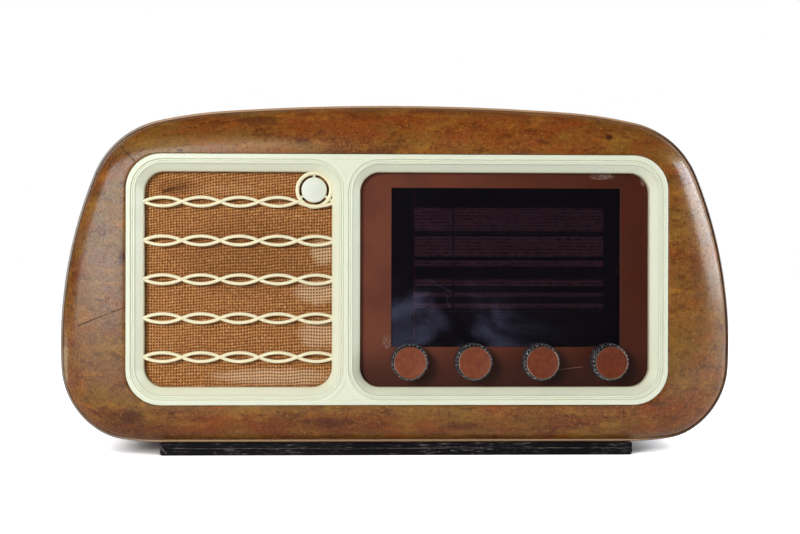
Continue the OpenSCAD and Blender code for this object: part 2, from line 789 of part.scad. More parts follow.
module drive_cord() {
  n = len(cord_path);
  points = [for (p = cord_path) for (k = [0:cord_sides - 1])
    let (t = k * 360 / cord_sides, r = cord_d / 2)
    [p[0] + r * cos(t) * cos(p[3]), p[1] + r * sin(t), p[2] + r * cos(t) * sin(p[3])]];
  faces = [for (i = [0:n - 1]) for (k = [0:cord_sides - 1])
    let (a = i * cord_sides + k, b = i * cord_sides + (k + 1) % cord_sides,
      c = (i + 1) % n * cord_sides + (k + 1) % cord_sides, d = (i + 1) % n * cord_sides + k)
    each [[a, c, b], [a, d, c]]];
  color("white") placed() polyhedron(points, faces);
}

// Drum on the capacitor's shaft, with the cord's groove and lightening holes.
drum_hub_r = 9;
drum_front = cord_y - drum_half - 2;
module drive_drum() {
  color("khaki") placed() difference() {
    lathe(rotor_x, rotor_z) polygon([[shaft_r + 0.02, drum_front], [drum_hub_r, drum_front],
      [drum_hub_r, cord_y - 1], [drum_r - 5, cord_y - 1], [drum_r - 5, cord_y - drum_half],
      [drum_r + 2, cord_y - drum_half], [drum_r + 2, cord_y - drum_half + 0.8],
      [drum_r - cord_d / 2 - loose, cord_y - groove_half],
      [drum_r - cord_d / 2 - loose, cord_y + groove_half],
      [drum_r + 2, cord_y + drum_half - 0.8], [drum_r + 2, cord_y + drum_half],
      [drum_r - 5, cord_y + drum_half], [drum_r - 5, cord_y + 1], [drum_hub_r, cord_y + 1],
      [drum_hub_r, cord_y + drum_half + 2], [shaft_r + 0.02, cord_y + drum_half + 2]]);
    for (k = [0:5]) translate([rotor_x, 0, rotor_z]) rotate([0, 60 * k, 0])
      bar((drum_r + drum_hub_r) / 2 - 2, 0, cord_y - 2, cord_y + 2, drum_r / 5.5);
  }
}

// Two-gang tuning capacitor: vanes on the shaft turn out of the fixed plates.
frame_front = chassis_y + 5;
gang_len = (vane_count - 1) * vane_pitch;
gang_gap = 11;
frame_t = 2;
frame_len = 2 * gang_len + gang_gap + 2 * frame_t + 20;
frame_half = vane_r + 5;
gang_starts = [frame_front + frame_t + 10, frame_front + frame_t + 10 + gang_len + gang_gap];
frame_back = frame_front + frame_len;
module half_plate(r) {
  intersection() {
    circle(r = r);
    translate([-r, -r]) square([r, 2 * r]);
  }
}
module capacitor_rotor() {
  color("silver") placed() {
    bar(rotor_x, rotor_z, drum_front - 1, frame_back + 3, shaft_r);
    for (g = gang_starts) for (k = [0:vane_count - 1])
      slab(g + k * vane_pitch - vane_t / 2, g + k * vane_pitch + vane_t / 2)
        translate([rotor_x, rotor_z]) {
          half_plate(vane_r);
          circle(r = shaft_r + 2);
        }
  }
}
stator_rod_r = 1.6;
stator_rod_x = vane_r + 2.6;
stator_rod_z = 12;
module capacitor_stator() {
  color("gainsboro") placed() {
    for (g = gang_starts) for (k = [0:vane_count - 2])
      slab(g + (k + 0.5) * vane_pitch - vane_t / 2, g + (k + 0.5) * vane_pitch + vane_t / 2)
        translate([rotor_x, rotor_z]) difference() {
          translate([-stator_rod_x - 2, -stator_rod_z - 3]) square([stator_rod_x + 2, 2 * stator_rod_z + 6]);
          circle(r = shaft_r + 3.5);
        }
    for (s = [-1, 1])
      bar(rotor_x - stator_rod_x, rotor_z + s * stator_rod_z, frame_front + frame_t,
        frame_back - frame_t, stator_rod_r);
  }
}
frame_top = rotor_z + vane_r * 0.6;
module end_plate() {
  difference() {
    translate([rotor_x - frame_half - 3, deck_z]) square([2 * frame_half + 6, frame_top - deck_z]);
    translate([rotor_x, rotor_z]) circle(r = shaft_r + run);
  }
}
module capacitor_frame() {
  color("darkgray") placed() {
    slab(frame_front, frame_front + frame_t) end_plate();
    slab(frame_back - frame_t, frame_back) end_plate();
    block([rotor_x - frame_half - 3, frame_front, deck_z],
      [rotor_x + frame_half + 3, frame_back, deck_z + frame_t]);
    for (s = [-1, 1]) block([rotor_x + s * (frame_half + 2) - 1, frame_front, deck_z],
      [rotor_x + s * (frame_half + 2) + 1, frame_back, deck_z + 12]);
  }
}

// Folded steel chassis on wooden bearers, bolted through the cabinet's floor.
chassis_left = chassis_x - chassis_w / 2;
chassis_right = chassis_x + chassis_w / 2;
fold_w = 14;
bolt_r = 2;
bolt_places = [for (x = [chassis_left + fold_w / 2, chassis_right - fold_w / 2])
  for (y = [chassis_y + 22, chassis_back - 22]) [x, y]];
// Valves, coil cans and the reservoir as [x, y] on the deck, in rows and
// columns that keep their distance from the chassis' edges.
edge_in = 24;
column_gap = 48;
can_gap = 38;
row_front = 28;
row_back = 33;
inner_column = chassis_right - edge_in - column_gap;
valves = [
  [chassis_left + edge_in, chassis_y + row_front], [inner_column, chassis_y + row_front],
  [chassis_right - edge_in, (chassis_y + chassis_back) / 2 - seat],
  [inner_column, chassis_back - row_back], [chassis_right - edge_in, chassis_back - row_back]
];
cans = [for (x = [chassis_left + edge_in + can_gap, chassis_right - edge_in]) [x, chassis_y + row_front]];
reservoir = [rotor_x, chassis_back - row_back];
socket_hole = valve_r - 1.5;
module chassis() {
  color("lightsteelblue") placed() difference() {
    union() {
      difference() {
        block([chassis_left, chassis_y, bearer_top], [chassis_right, chassis_back, deck_z]);
        block([chassis_left + sheet_t, chassis_y + sheet_t, bearer_top - 1],
          [chassis_right - sheet_t, chassis_back - sheet_t, deck_z - sheet_t]);
      }
      for (x = [chassis_left, chassis_right - fold_w])
        block([x, chassis_y, bearer_top], [x + fold_w, chassis_back, bearer_top + sheet_t]);
    }
    for (x = shafts) bar(x, shaft_z, chassis_y - 1, chassis_y + sheet_t + 1, bush_r + 0.1);
    for (v = valves) translate([v[0], v[1], deck_z - 5]) cylinder(h = 6, r = socket_hole);
    for (p = bolt_places) translate([p[0], p[1], bearer_top - 1]) cylinder(h = 4, r = bolt_r + 0.2);
    bar(grommet_x, grommet_z, chassis_back - 3, chassis_back + 1, grommet_hole);
    slab(chassis_back - 3, chassis_back + 1) translate([socket_x, socket_z])
      square([socket_gap + 2 * socket_r + 2, 2 * socket_r + 2], center = true);
  }
}
module chassis_bearers() {
  color("burlywood") placed() difference() {
    for (x = [chassis_left, chassis_right - fold_w])
      block([x, chassis_y, floor_z], [x + fold_w, chassis_back, bearer_top]);
    for (p = bolt_places) translate([p[0], p[1], floor_z - 1]) cylinder(h = bearer_h + 2, r = bolt_r + 0.2);
  }
}
module chassis_bolts() {
  color("gray") placed() for (p = bolt_places) translate([p[0], p[1], 0]) {
    translate([0, 0, runner_h - 3]) cylinder(h = 3, r = 4.2, $fn = 6);
    translate([0, 0, runner_h]) cylinder(h = floor_z + bearer_h + sheet_t + 5 - runner_h, r = bolt_r);
    translate([0, 0, bearer_top + sheet_t]) cylinder(h = 3, r = 4.2, $fn = 6);
  }
}

// Laminated core with a winding on its middle leg.
mains_core = [80, 36, 66];
mains_leg = 15;
mains_side = 11;
mains_rear = 20;
mains_window = [mains_core[0] / 2 - 2 * mains_leg, mains_core[2] - 2 * mains_leg];
coil_bulge = 14;
mains_at = [
  chassis_left + mains_side + mains_core[0] / 2,
  chassis_back - mains_rear - coil_bulge - mains_core[1] / 2
];
module power_transformer_core() {
  color("dimgray") placed() translate([mains_at[0], 0, deck_z + mains_core[2] / 2])
    slab(mains_at[1] - mains_core[1] / 2, mains_at[1] + mains_core[1] / 2) difference() {
      square([mains_core[0], mains_core[2]], center = true);
      for (s = [-1, 1]) translate([s * (mains_leg + mains_window[0] / 2), 0])
        square(mains_window, center = true);
    }
}
module power_transformer_coil() {
  color("goldenrod") placed()
    translate([mains_at[0], mains_at[1], deck_z + mains_core[2] / 2]) difference() {
      cube([mains_core[0] - 2 * mains_leg - 2 * seat, mains_core[1] + 2 * coil_bulge,
        mains_window[1] - 2 * seat], center = true);
      cube([2 * mains_leg + seat, mains_core[1] + seat, mains_core[2]], center = true);
    }
}

// Valves in their sockets.
socket_t = 3;
base_h = 6;
module valve_sockets() {
  color("saddlebrown") placed() for (v = valves) {
    turret(v[0], v[1], deck_z) polygon([[0, 0], [valve_r + 1.5, 0], [valve_r + 1.5, socket_t], [0, socket_t]]);
    turret(v[0], v[1], deck_z - 6) polygon([[0, 0], [socket_hole - 0.3, 0], [socket_hole - 0.3, 6], [0, 6]]);
  }
}
module valve_bases() {
  color("black") placed() for (v = valves)
    turret(v[0], v[1], deck_z + socket_t)
      polygon([[0, 0], [valve_r + 0.5, 0], [valve_r + 0.5, base_h - 1], [valve_r, base_h], [0, base_h]]);
}
module valve_envelopes() {
  color("lightcyan") placed() for (v = valves)
    turret(v[0], v[1], deck_z + socket_t + base_h) polygon(concat(
      [[0, 0], [valve_r - 0.5, 0]],
      [for (a = [0:15:75]) [(valve_r - 0.5) * cos(a), valve_h - valve_r + (valve_r - 0.5) * sin(a)]],
      [[1.6, valve_h], [0, valve_h + 3]]
    ));
}
can_w = 24;
can_h = 54;
module if_cans() {
  color("silver") placed() for (c = cans) translate([c[0], c[1], deck_z]) difference() {
    linear_extrude(can_h) rounded(can_w, can_w, 3);
    translate([0, 0, can_h - 4]) cylinder(h = 5, r = 2.6);
  }
}
reservoir_r = 17;
reservoir_h = 68;
clip_h = 12;
module filter_capacitor() {
  color("silver") placed() turret(reservoir[0], reservoir[1], deck_z) polygon([
    [0, 0], [reservoir_r + 3, 0], [reservoir_r + 3, 1.5], [reservoir_r + 1, 1.5], [reservoir_r + 1, clip_h],
    [reservoir_r, clip_h], [reservoir_r, reservoir_h - 2], [reservoir_r - 1, reservoir_h], [0, reservoir_h]
  ]);
}

// Controls behind the chassis' front wall: a bush through the wall and a body.
shaft_tail = 12;
shaft_end = chassis_y + shaft_tail;
module bushed(x, body_r, body_d) {
  difference() {
    union() {
      bar(x, shaft_z, bush_front, chassis_y + sheet_t, bush_r);
      bar(x, shaft_z, chassis_y + sheet_t, chassis_y + sheet_t + body_d, body_r);
    }
    bar(x, shaft_z, bush_front - 1, shaft_end + loose, shaft_r + run);
  }
}
module tags(x, body_r, y) {
  for (s = [-1, 0, 1]) block([x + s * 5 - 1, y, shaft_z - body_r - 5], [x + s * 5 + 1, y + 0.8, shaft_z - body_r + 3]);
}
module volume_potentiometer() color("darkgray") placed() {
  bushed(volume_x, 12, 17);
  tags(volume_x, 12, chassis_y + 6);
}
module tone_potentiometer() color("darkgray") placed() {
  bushed(tone_x, 12, 15);
  tags(tone_x, 12, chassis_y + 6);
}
module band_switch() color("tan") placed() {
  bushed(band_x, 13, 14);
  for (s = [-1, 1]) bar(band_x + s * 9, shaft_z, chassis_y + 15, chassis_y + 34, 1.6);
  bar(band_x, shaft_z, chassis_y + 22, chassis_y + 24, 18);
  bar(band_x, shaft_z, chassis_y + 30, chassis_y + 32, 18);
}
module tuning_bush() color("gold") placed() bushed(tuning_x, 8, 14);
module control_nuts() {
  color("silver") placed() for (x = shafts) difference() {
    translate([x, chassis_y, shaft_z]) rotate([90, 0, 0]) cylinder(h = 2.5, r = bush_r + 2.2, $fn = 6);
    bar(x, shaft_z, chassis_y - 4, chassis_y + 1, bush_r + run);
  }
}

// Knob: fluted barrel that widens from the face disc in front of it to its
// skirt. The three parts of a control turn together.
face_t = 1.6;
module fluted() {
  difference() {
    circle(r = knob_r);
    for (k = [0:flutes - 1]) rotate(k * 360 / flutes) translate([knob_r + 0.4, 0]) circle(r = flute_d + 0.4);
  }
}
module knob(x) {
  difference() {
    intersection() {
      slab(knob_front + face_t, knob_back) translate([x, shaft_z]) fluted();
      lathe(x, shaft_z) polygon([[0, knob_front + face_t], [face_r - 0.8, knob_front + face_t],
        [knob_r - 1.6, knob_front + face_t + 0.5], [knob_r - 0.7, knob_front + face_t + 2.1],
        [knob_r - 0.35, knob_front + face_t + 5.6],
        [knob_r + 0.01, knob_back - 5], [knob_r + 0.01, knob_back], [0, knob_back]]);
    }
    bar(x, shaft_z, knob_front + 4, knob_back + 1, shaft_r + 0.02);
  }
}
module face(x) {
  lathe(x, shaft_z) polygon([[0, knob_front + face_t], [face_r, knob_front + face_t],
    [face_r, knob_front + 0.3], [face_r - 0.8, knob_front], [face_r - 1.4, knob_front + 0.3],
    [0, knob_front + 0.3]]);
}
module control_shaft(x) {
  bar(x, shaft_z, knob_front + 4.2, shaft_end, shaft_r);
}
module volume_knob() color("maroon") placed() knob(volume_x);
module tone_knob() color("maroon") placed() knob(tone_x);
module band_knob() color("maroon") placed() knob(band_x);
module tuning_knob() color("maroon") placed() knob(tuning_x);
module volume_face() color("chocolate") placed() face(volume_x);
module tone_face() color("chocolate") placed() face(tone_x);
module band_face() color("chocolate") placed() face(band_x);
module tuning_face() color("chocolate") placed() face(tuning_x);
module volume_shaft() color("silver") placed() control_shaft(volume_x);
module tone_shaft() color("silver") placed() control_shaft(tone_x);
module band_shaft() color("silver") placed() control_shaft(band_x);
module tuning_shaft() color("silver") placed() {
  control_shaft(tuning_x);
  lathe(tuning_x, shaft_z) polygon([[0, bush_front - 6.7], [spindle_r + 1.2, bush_front - 6.7],
    [spindle_r + 1.2, cord_y - groove_half - 0.2], [spindle_r - cord_d / 2 - loose, cord_y - groove_half],
    [spindle_r - cord_d / 2 - loose, cord_y + groove_half], [spindle_r + 1.2, cord_y + groove_half + 0.2],
    [spindle_r + 1.2, bush_front - loose], [0, bush_front - loose]]);
}

// Loudspeaker: pressed basket with windows, magnet pot and a paper cone whose
// coil rides in the pot's gap.
basket_back = baffle_back + basket_d;
collar_d = 6;
module basket_profile() {
  polygon([
    [speaker_r, baffle_back], [speaker_r, baffle_back + 2],
    [speaker_r - flange_w + basket_t, baffle_back + 2],
    [speaker_r - flange_w + basket_t, baffle_back + collar_d],
    [magnet_r - 2, basket_back], [coil_r + 2, basket_back], [coil_r + 2, basket_back - basket_t],
    [magnet_r - 3, basket_back - basket_t],
    [speaker_r - flange_w, baffle_back + collar_d - 0.4], [speaker_r - flange_w, baffle_back]
  ]);
}
module basket_window() {
  slab(baffle_back + collar_d + 4, basket_back - 4) intersection() {
    difference() {
      circle(r = speaker_r);
      circle(r = magnet_r + 4);
    }
    polygon([[0, 0], [speaker_r * 2 * cos(22), speaker_r * 2 * sin(22)],
      [speaker_r * 2 * cos(22), -speaker_r * 2 * sin(22)]]);
  }
}
module speaker_basket() {
  color("slategray") placed() difference() {
    lathe(speaker_x, speaker_z) basket_profile();
    for (k = [0:5]) translate([speaker_x, 0, speaker_z]) rotate([0, 60 * k, 0]) basket_window();
    for (k = [0:3]) translate([speaker_x, 0, speaker_z]) rotate([0, 45 + 90 * k, 0])
      bar(speaker_screw_r, 0, baffle_back - 1, baffle_back + 3, screw_r + run);
  }
}
gap_d = 16;
module speaker_magnet() {
  color("gray") placed() lathe(speaker_x, speaker_z) polygon([
    [0, basket_back - 1], [coil_r - 0.8, basket_back - 1], [coil_r - 0.8, basket_back + gap_d],
    [coil_r + 1.4, basket_back + gap_d], [coil_r + 1.4, basket_back], [magnet_r, basket_back],
    [magnet_r, basket_back + magnet_d - 3], [magnet_r - 3, basket_back + magnet_d],
    [0, basket_back + magnet_d]
  ]);
}
paper_t = 0.8;
roll_r = 4;
cone_front = baffle_back + 3.6;
neck_y = basket_back - 6;
module speaker_cone() {
  color("black") placed() lathe(speaker_x, speaker_z) {
    polygon([
      [cone_r, cone_front - 1.8], [cone_r, cone_front + paper_t],
      [cone_r - 2 * roll_r, cone_front + paper_t], [coil_r + 0.9, neck_y + paper_t],
      [coil_r + 0.9, basket_back + gap_d - 5], [coil_r, basket_back + gap_d - 5], [coil_r, neck_y],
      [0, neck_y - 5], [0, neck_y - 5 - paper_t], [coil_r + 1, neck_y - paper_t],
      [cone_r - 2 * roll_r, cone_front - 0.4], [cone_r - roll_r, cone_front - 1.8]
    ]);
  }
}
module speaker_screws() {
  color("silver") placed() for (k = [0:3]) translate([speaker_x, 0, speaker_z])
    rotate([0, 45 + 90 * k, 0]) {
      bar(speaker_screw_r, 0, baffle_y + 1, baffle_back + 2, screw_r);
      bar(speaker_screw_r, 0, baffle_back + 2, baffle_back + 3.8, speaker_head_r);
    }
}

// Output transformer on the cabinet's floor, below the loudspeaker.
output_at = [speaker_x, baffle_back + basket_d + 30];
module output_transformer() {
  color("dimgray") placed() {
    slab(output_at[1] - 12, output_at[1] + 12) translate([output_at[0], floor_z + 21]) square([50, 42], center = true);
    block([output_at[0] - 15, output_at[1] - 22, floor_z + 9], [output_at[0] + 15, output_at[1] + 22, floor_z + 33]);
    block([output_at[0] - 34, output_at[1] - 8, floor_z], [output_at[0] + 34, output_at[1] + 8, floor_z + 1.5]);
  }
}

// Aerial and earth sockets on the chassis' rear wall, in the cover's cut-out.
socket_r = 3.2;
plug_r = 2.05;
socket_len = 10;
module aerial_sockets() {
  color("tan") placed() {
    slab(chassis_back, chassis_back + 2) difference() {
      translate([socket_x, socket_z]) rounded(socket_plate[0] - 4, socket_plate[1] - 4, 3);
      for (s = [-1, 1]) translate([socket_x + s * socket_gap / 2, socket_z]) circle(r = plug_r);
    }
    for (s = [-1, 1]) difference() {
      bar(socket_x + s * socket_gap / 2, socket_z, chassis_back - 2, chassis_back + socket_len - 2, socket_r);
      bar(socket_x + s * socket_gap / 2, socket_z, chassis_back - 3, chassis_back + socket_len, plug_r);
    }
  }
}

// Rubber grommet for a mains lead, held in the back cover's edge.
cord_hole = 3.5;
module mains_grommet() {
  color("black") placed() lathe(grommet_x, grommet_z) polygon([
    [cord_hole, cover_y - 2], [grommet_hole + 2, cover_y - 2], [grommet_hole + 2, cover_y],
    [grommet_hole, cover_y], [grommet_hole, cover_y + cover_t], [grommet_hole + 2, cover_y + cover_t],
    [grommet_hole + 2, cover_y + cover_t + 1.6], [cord_hole, cover_y + cover_t + 1.6]
  ]);
}

cabinet_shell();
front_surround();
front_runner();
rear_runner();
back_battens();
back_cover();
back_screws();
escutcheon();
grille_cloth();
baffle_board();
dial_panel();
dial_glass();
scale_plate();
scale_spacers();
pointer_rail();
lamp_holders();
dial_lamps();
dial_pointer();
left_pulley();
right_pulley();
drive_cord();
drive_drum();
capacitor_rotor();
capacitor_stator();
capacitor_frame();
chassis();
chassis_bearers();
chassis_bolts();
power_transformer_core();
power_transformer_coil();
valve_sockets();
valve_bases();
valve_envelopes();
if_cans();
filter_capacitor();
volume_potentiometer();
tone_potentiometer();
band_switch();
tuning_bush();
control_nuts();
volume_knob();
volume_face();
volume_shaft();
tone_knob();
tone_face();
tone_shaft();
band_knob();
band_face();
band_shaft();
tuning_knob();
tuning_face();
tuning_shaft();
speaker_basket();
speaker_magnet();
speaker_cone();
speaker_screws();
output_transformer();
aerial_sockets();
mains_grommet();
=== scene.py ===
import math
import bpy
import bmesh
from mathutils import Matrix, Vector


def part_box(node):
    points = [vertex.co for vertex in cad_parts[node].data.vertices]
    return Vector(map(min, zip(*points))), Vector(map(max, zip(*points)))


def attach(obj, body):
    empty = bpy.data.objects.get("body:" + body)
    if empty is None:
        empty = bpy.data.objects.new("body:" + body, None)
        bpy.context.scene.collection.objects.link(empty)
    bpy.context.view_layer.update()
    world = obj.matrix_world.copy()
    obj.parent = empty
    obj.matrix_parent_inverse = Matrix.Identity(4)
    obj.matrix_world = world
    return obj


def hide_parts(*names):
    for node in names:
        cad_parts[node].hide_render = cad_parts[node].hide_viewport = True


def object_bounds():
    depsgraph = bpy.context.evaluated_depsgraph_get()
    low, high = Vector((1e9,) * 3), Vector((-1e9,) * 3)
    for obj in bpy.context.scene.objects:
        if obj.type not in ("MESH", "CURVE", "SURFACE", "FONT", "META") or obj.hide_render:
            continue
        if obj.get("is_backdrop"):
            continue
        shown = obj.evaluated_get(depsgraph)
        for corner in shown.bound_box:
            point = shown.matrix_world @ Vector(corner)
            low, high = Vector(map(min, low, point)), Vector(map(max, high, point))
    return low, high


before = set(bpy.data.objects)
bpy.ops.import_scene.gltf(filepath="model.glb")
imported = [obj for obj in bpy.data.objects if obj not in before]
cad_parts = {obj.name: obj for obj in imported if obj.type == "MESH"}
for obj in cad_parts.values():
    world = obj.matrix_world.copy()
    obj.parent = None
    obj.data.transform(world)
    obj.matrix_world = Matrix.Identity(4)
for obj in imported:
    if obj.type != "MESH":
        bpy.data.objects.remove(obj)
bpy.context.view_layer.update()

# The room
# A pale floor under soft lamps, with the camera almost straight before it.
# The room behind the object is white and the room before it is dim.
scene = bpy.context.scene
scene.view_settings.view_transform = "Standard"


def link(thing):
    scene.collection.objects.link(thing)
    return thing


camera_data = bpy.data.cameras.new("front_view")
camera_data.lens = 50
camera_data.sensor_width = 36
camera_data.shift_x = 0.0369
camera = link(bpy.data.objects.new("front_view", camera_data))
camera.location = (-0.0485, -1.0514, 0.1623)
camera.rotation_euler = (math.radians(90), math.radians(-0.11), math.radians(-1.5))
scene.camera = camera


def softbox(name, place, aim, width, height, watts, tint=(1, 1, 1), mirrored=True, lights=True):
    """A rectangular lamp; it may be left out of mirrors, or be there only for mirrors."""
    lamp_data = bpy.data.lights.new(name, "AREA")
    lamp_data.color = tint
    lamp_data.shape = "RECTANGLE"
    lamp_data.size = width
    lamp_data.size_y = height
    lamp_data.energy = watts
    lamp = link(bpy.data.objects.new(name, lamp_data))
    lamp.location = place
    lamp.rotation_euler = (Vector(aim) - Vector(place)).to_track_quat("-Z", "Y").to_euler()
    lamp.visible_glossy = mirrored
    lamp.visible_diffuse = lights
    return lamp


softbox("key_box", (-1.0, -1.75, 0.65), (0, 0, 0.15), 0.5, 0.5, 33, (1.0, 0.97, 0.92), mirrored=False)
softbox("left_box", (-1.35, -1.6, 0.6), (-0.2, -0.1, 0.15), 2.4, 1.2, 34, (0.76, 0.92, 1.0), lights=False)
softbox("right_strip", (1.5, -0.2, 0.55), (0.27, -0.1, 0.2), 1.2, 0.8, 21, (0.93, 0.98, 1.0))
softbox("top_box", (0.0, -0.2, 1.8), (0, 0, 0.1), 1.6, 1.2, 3, mirrored=False)
softbox("rear_box", (0.2, 1.6, 0.9), (0, 0.1, 0.1), 1.4, 1.0, 12)


class Finish:
    """A material built in layers: patterns first, then colour, gloss and relief."""

    def __init__(self, name, **sockets):
        self.material = bpy.data.materials.new(name)
        self.material.use_nodes = True
        self.nodes = self.material.node_tree.nodes
        self.links = self.material.node_tree.links
        self.shader = self.nodes["Principled BSDF"]
        self.place = self.add("ShaderNodeTexCoord").outputs["Object"]
        for socket, value in sockets.items():
            self.give(self.shader, socket.replace("_", " "), value)

    def give(self, node, socket, value):
        """Links or writes one input of a node."""
        if isinstance(value, bpy.types.NodeSocket):
            self.links.new(value, node.inputs[socket])
        else:
            node.inputs[socket].default_value = value

    def add(self, kind, inputs=None, **settings):
        """A node with its settings and inputs."""
        node = self.nodes.new(kind)
        for name, value in settings.items():
            setattr(node, name, value)
        for socket, value in (inputs or {}).items():
            self.give(node, socket, value)
        return node

    def uv(self, name):
        return self.add("ShaderNodeUVMap", uv_map=name).outputs[0]

    def axis(self, name, at=None):
        """One coordinate of a place."""
        split = self.add("ShaderNodeSeparateXYZ", {0: at or self.place})
        return split.outputs["XYZ".index(name)]

    def joined(self, x, y, z=0.0):
        return self.add("ShaderNodeCombineXYZ", {0: x, 1: y, 2: z}).outputs[0]

    def mapped(self, scale, at=None, shift=(0, 0, 0), turn=(0, 0, 0)):
        """Coordinates stretched, moved or turned for a pattern."""
        inputs = {"Vector": at or self.place, "Location": shift, "Rotation": turn, "Scale": scale}
        return self.add("ShaderNodeMapping", inputs).outputs[0]

    def noise(self, scale, at=None, detail=3.0, rough=0.55, warp=0.0):
        """Cloudy pattern from 0 to 1; scale is in clouds for each metre."""
        inputs = {
            "Vector": at or self.place, "Scale": scale, "Detail": detail,
            "Roughness": rough, "Distortion": warp,
        }
        return self.add("ShaderNodeTexNoise", inputs).outputs[0]

    def cells(self, scale, at=None, kind="F1", loose=1.0):
        """Distance to the nearest of many scattered points."""
        inputs = {"Vector": at or self.place, "Scale": scale, "Randomness": loose}
        return self.add("ShaderNodeTexVoronoi", inputs, feature=kind).outputs["Distance"]

    def calc(self, operation, first, second=0.0, third=0.0):
        inputs = {0: first, 1: second, 2: third}
        return self.add("ShaderNodeMath", inputs, operation=operation).outputs[0]

    def times(self, first, second):
        return self.calc("MULTIPLY", first, second)

    def larger(self, first, second):
        return self.calc("MAXIMUM", first, second)

    def waves(self, value, pitch):
        """Waves from -1 to 1 along a value, with a pitch in metres."""
        return self.calc("SINE", self.times(value, 2 * math.pi / pitch))

    def graded(self, value, low, high, start=0.0, end=1.0):
        """Value between low and high, brought smoothly to between start and end."""
        inputs = {"Value": value, "From Min": low, "From Max": high, "To Min": start, "To Max": end}
        return self.add("ShaderNodeMapRange", inputs, interpolation_type="SMOOTHSTEP").outputs[0]

    def toned(self, value, stops):
        """Colours along a value: stops are (share, colour)."""
        node = self.add("ShaderNodeValToRGB", {0: value})
        ramp = node.color_ramp
        while len(ramp.elements) < len(stops):
            ramp.elements.new(0.5)
        for element, (share, colour) in zip(ramp.elements, stops):
            element.position = share
            element.color = colour
        return node.outputs[0]

    def mixed(self, share, first, second, kind="MIX"):
        """Second colour over the first, by share."""
        node = self.add("ShaderNodeMix", data_type="RGBA", blend_type=kind)
        self.give(node, 0, share)
        self.give(node, 6, first)
        self.give(node, 7, second)
        return node.outputs[2]

    def spot(self, x, z, wide, high, ragged=0.0, clouds=60):
        """Soft patch on the front, by its middle and half sizes in millimetres."""
        across = self.calc("MULTIPLY_ADD", self.axis("X"), 1000 / wide, -x / wide)
        up = self.calc("MULTIPLY_ADD", self.axis("Z"), 1000 / high, -z / high)
        far = self.calc("ADD", self.times(across, across), self.times(up, up))
        if ragged:
            torn = self.calc("MULTIPLY_ADD", self.noise(clouds, detail=4), 2 * ragged, -ragged)
            far = self.calc("ADD", far, torn)
        return self.graded(far, 1.0, 0.15)

    def relief(self, height, depth, strength=1.0):
        """Bumps of a depth in metres; more than one call adds to the last."""
        node = self.add("ShaderNodeBump", {"Height": height, "Distance": depth, "Strength": strength})
        before = self.shader.inputs["Normal"].links
        if before:
            self.links.new(before[0].from_socket, node.inputs["Normal"])
        self.links.new(node.outputs[0], self.shader.inputs["Normal"])

    def colour(self, value):
        self.give(self.shader, "Base Color", value)

    def gloss(self, value):
        self.give(self.shader, "Roughness", value)


def shade(red, green, blue):
    """Colour as the eye sees it, from 0 to 255, for a shader's socket."""
    parts = [c / 255 for c in (red, green, blue)]
    flat = [c / 12.92 if c < 0.04045 else ((c + 0.055) / 1.055) ** 2.4 for c in parts]
    return (*flat, 1.0)


def seen_rays(finish, mirrored):
    """1 for rays that show the background in the picture or through glass, less in mirrors."""
    rays = finish.add("ShaderNodeLightPath")
    glossy = finish.times(rays.outputs["Is Glossy Ray"], mirrored)
    shown = finish.larger(rays.outputs["Is Camera Ray"], glossy)
    return finish.larger(shown, rays.outputs["Is Transmission Ray"])


floor_finish = Finish("pale_floor", Roughness=0.9, Specular_IOR_Level=0.1)
floor_tone = floor_finish.mixed(floor_finish.noise(4), shade(232, 236, 242), shade(238, 241, 246))
floor_finish.colour(floor_tone)
floor_finish.give(floor_finish.shader, "Emission Color", (1, 1, 1, 1))
floor_far = floor_finish.add("ShaderNodeVectorMath", {0: floor_finish.place}, operation="LENGTH")
floor_covered = floor_finish.add("ShaderNodeAmbientOcclusion", {"Distance": 0.12}, samples=16)
floor_level = floor_finish.graded(floor_covered.outputs["AO"], 0.08, 0.4)
floor_mirrored = floor_finish.graded(floor_far.outputs["Value"], 0.7, 2.2, 0.12, 1.0)
floor_glow = floor_finish.times(seen_rays(floor_finish, floor_mirrored), floor_level)
floor_finish.give(floor_finish.shader, "Emission Strength", floor_glow)
floor_mesh = bpy.data.meshes.new("floor")
bm = bmesh.new()
floor_size = Matrix.Translation((0, 4.2, 0)) @ Matrix.Diagonal((6, 5, 1, 1))
bmesh.ops.create_grid(bm, x_segments=12, y_segments=10, size=1, matrix=floor_size)
bm.to_mesh(floor_mesh)
bm.free()
floor = link(bpy.data.objects.new("floor", floor_mesh))
floor_mesh.materials.append(floor_finish.material)
floor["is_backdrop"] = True

world = bpy.data.worlds.new("room")
scene.world = world
world.use_nodes = True
room = world.node_tree
room_place = room.nodes.new("ShaderNodeTexCoord")
room_split = room.nodes.new("ShaderNodeSeparateXYZ")
room.links.new(room_place.outputs["Generated"], room_split.inputs[0])
room_behind = room.nodes.new("ShaderNodeMapRange")
room_behind.interpolation_type = "SMOOTHSTEP"
room_behind.inputs["From Min"].default_value = 0.4
room_behind.inputs["From Max"].default_value = 0.9
room_behind.inputs["To Min"].default_value = 0.02
room.links.new(room_split.outputs["Y"], room_behind.inputs["Value"])
room_rays = room.nodes.new("ShaderNodeLightPath")


def room_calc(operation, first, second):
    node = room.nodes.new("ShaderNodeMath")
    node.operation = operation
    for socket, value in ((0, first), (1, second)):
        if isinstance(value, bpy.types.NodeSocket):
            room.links.new(value, node.inputs[socket])
        else:
            node.inputs[socket].default_value = value
    return node.outputs[0]


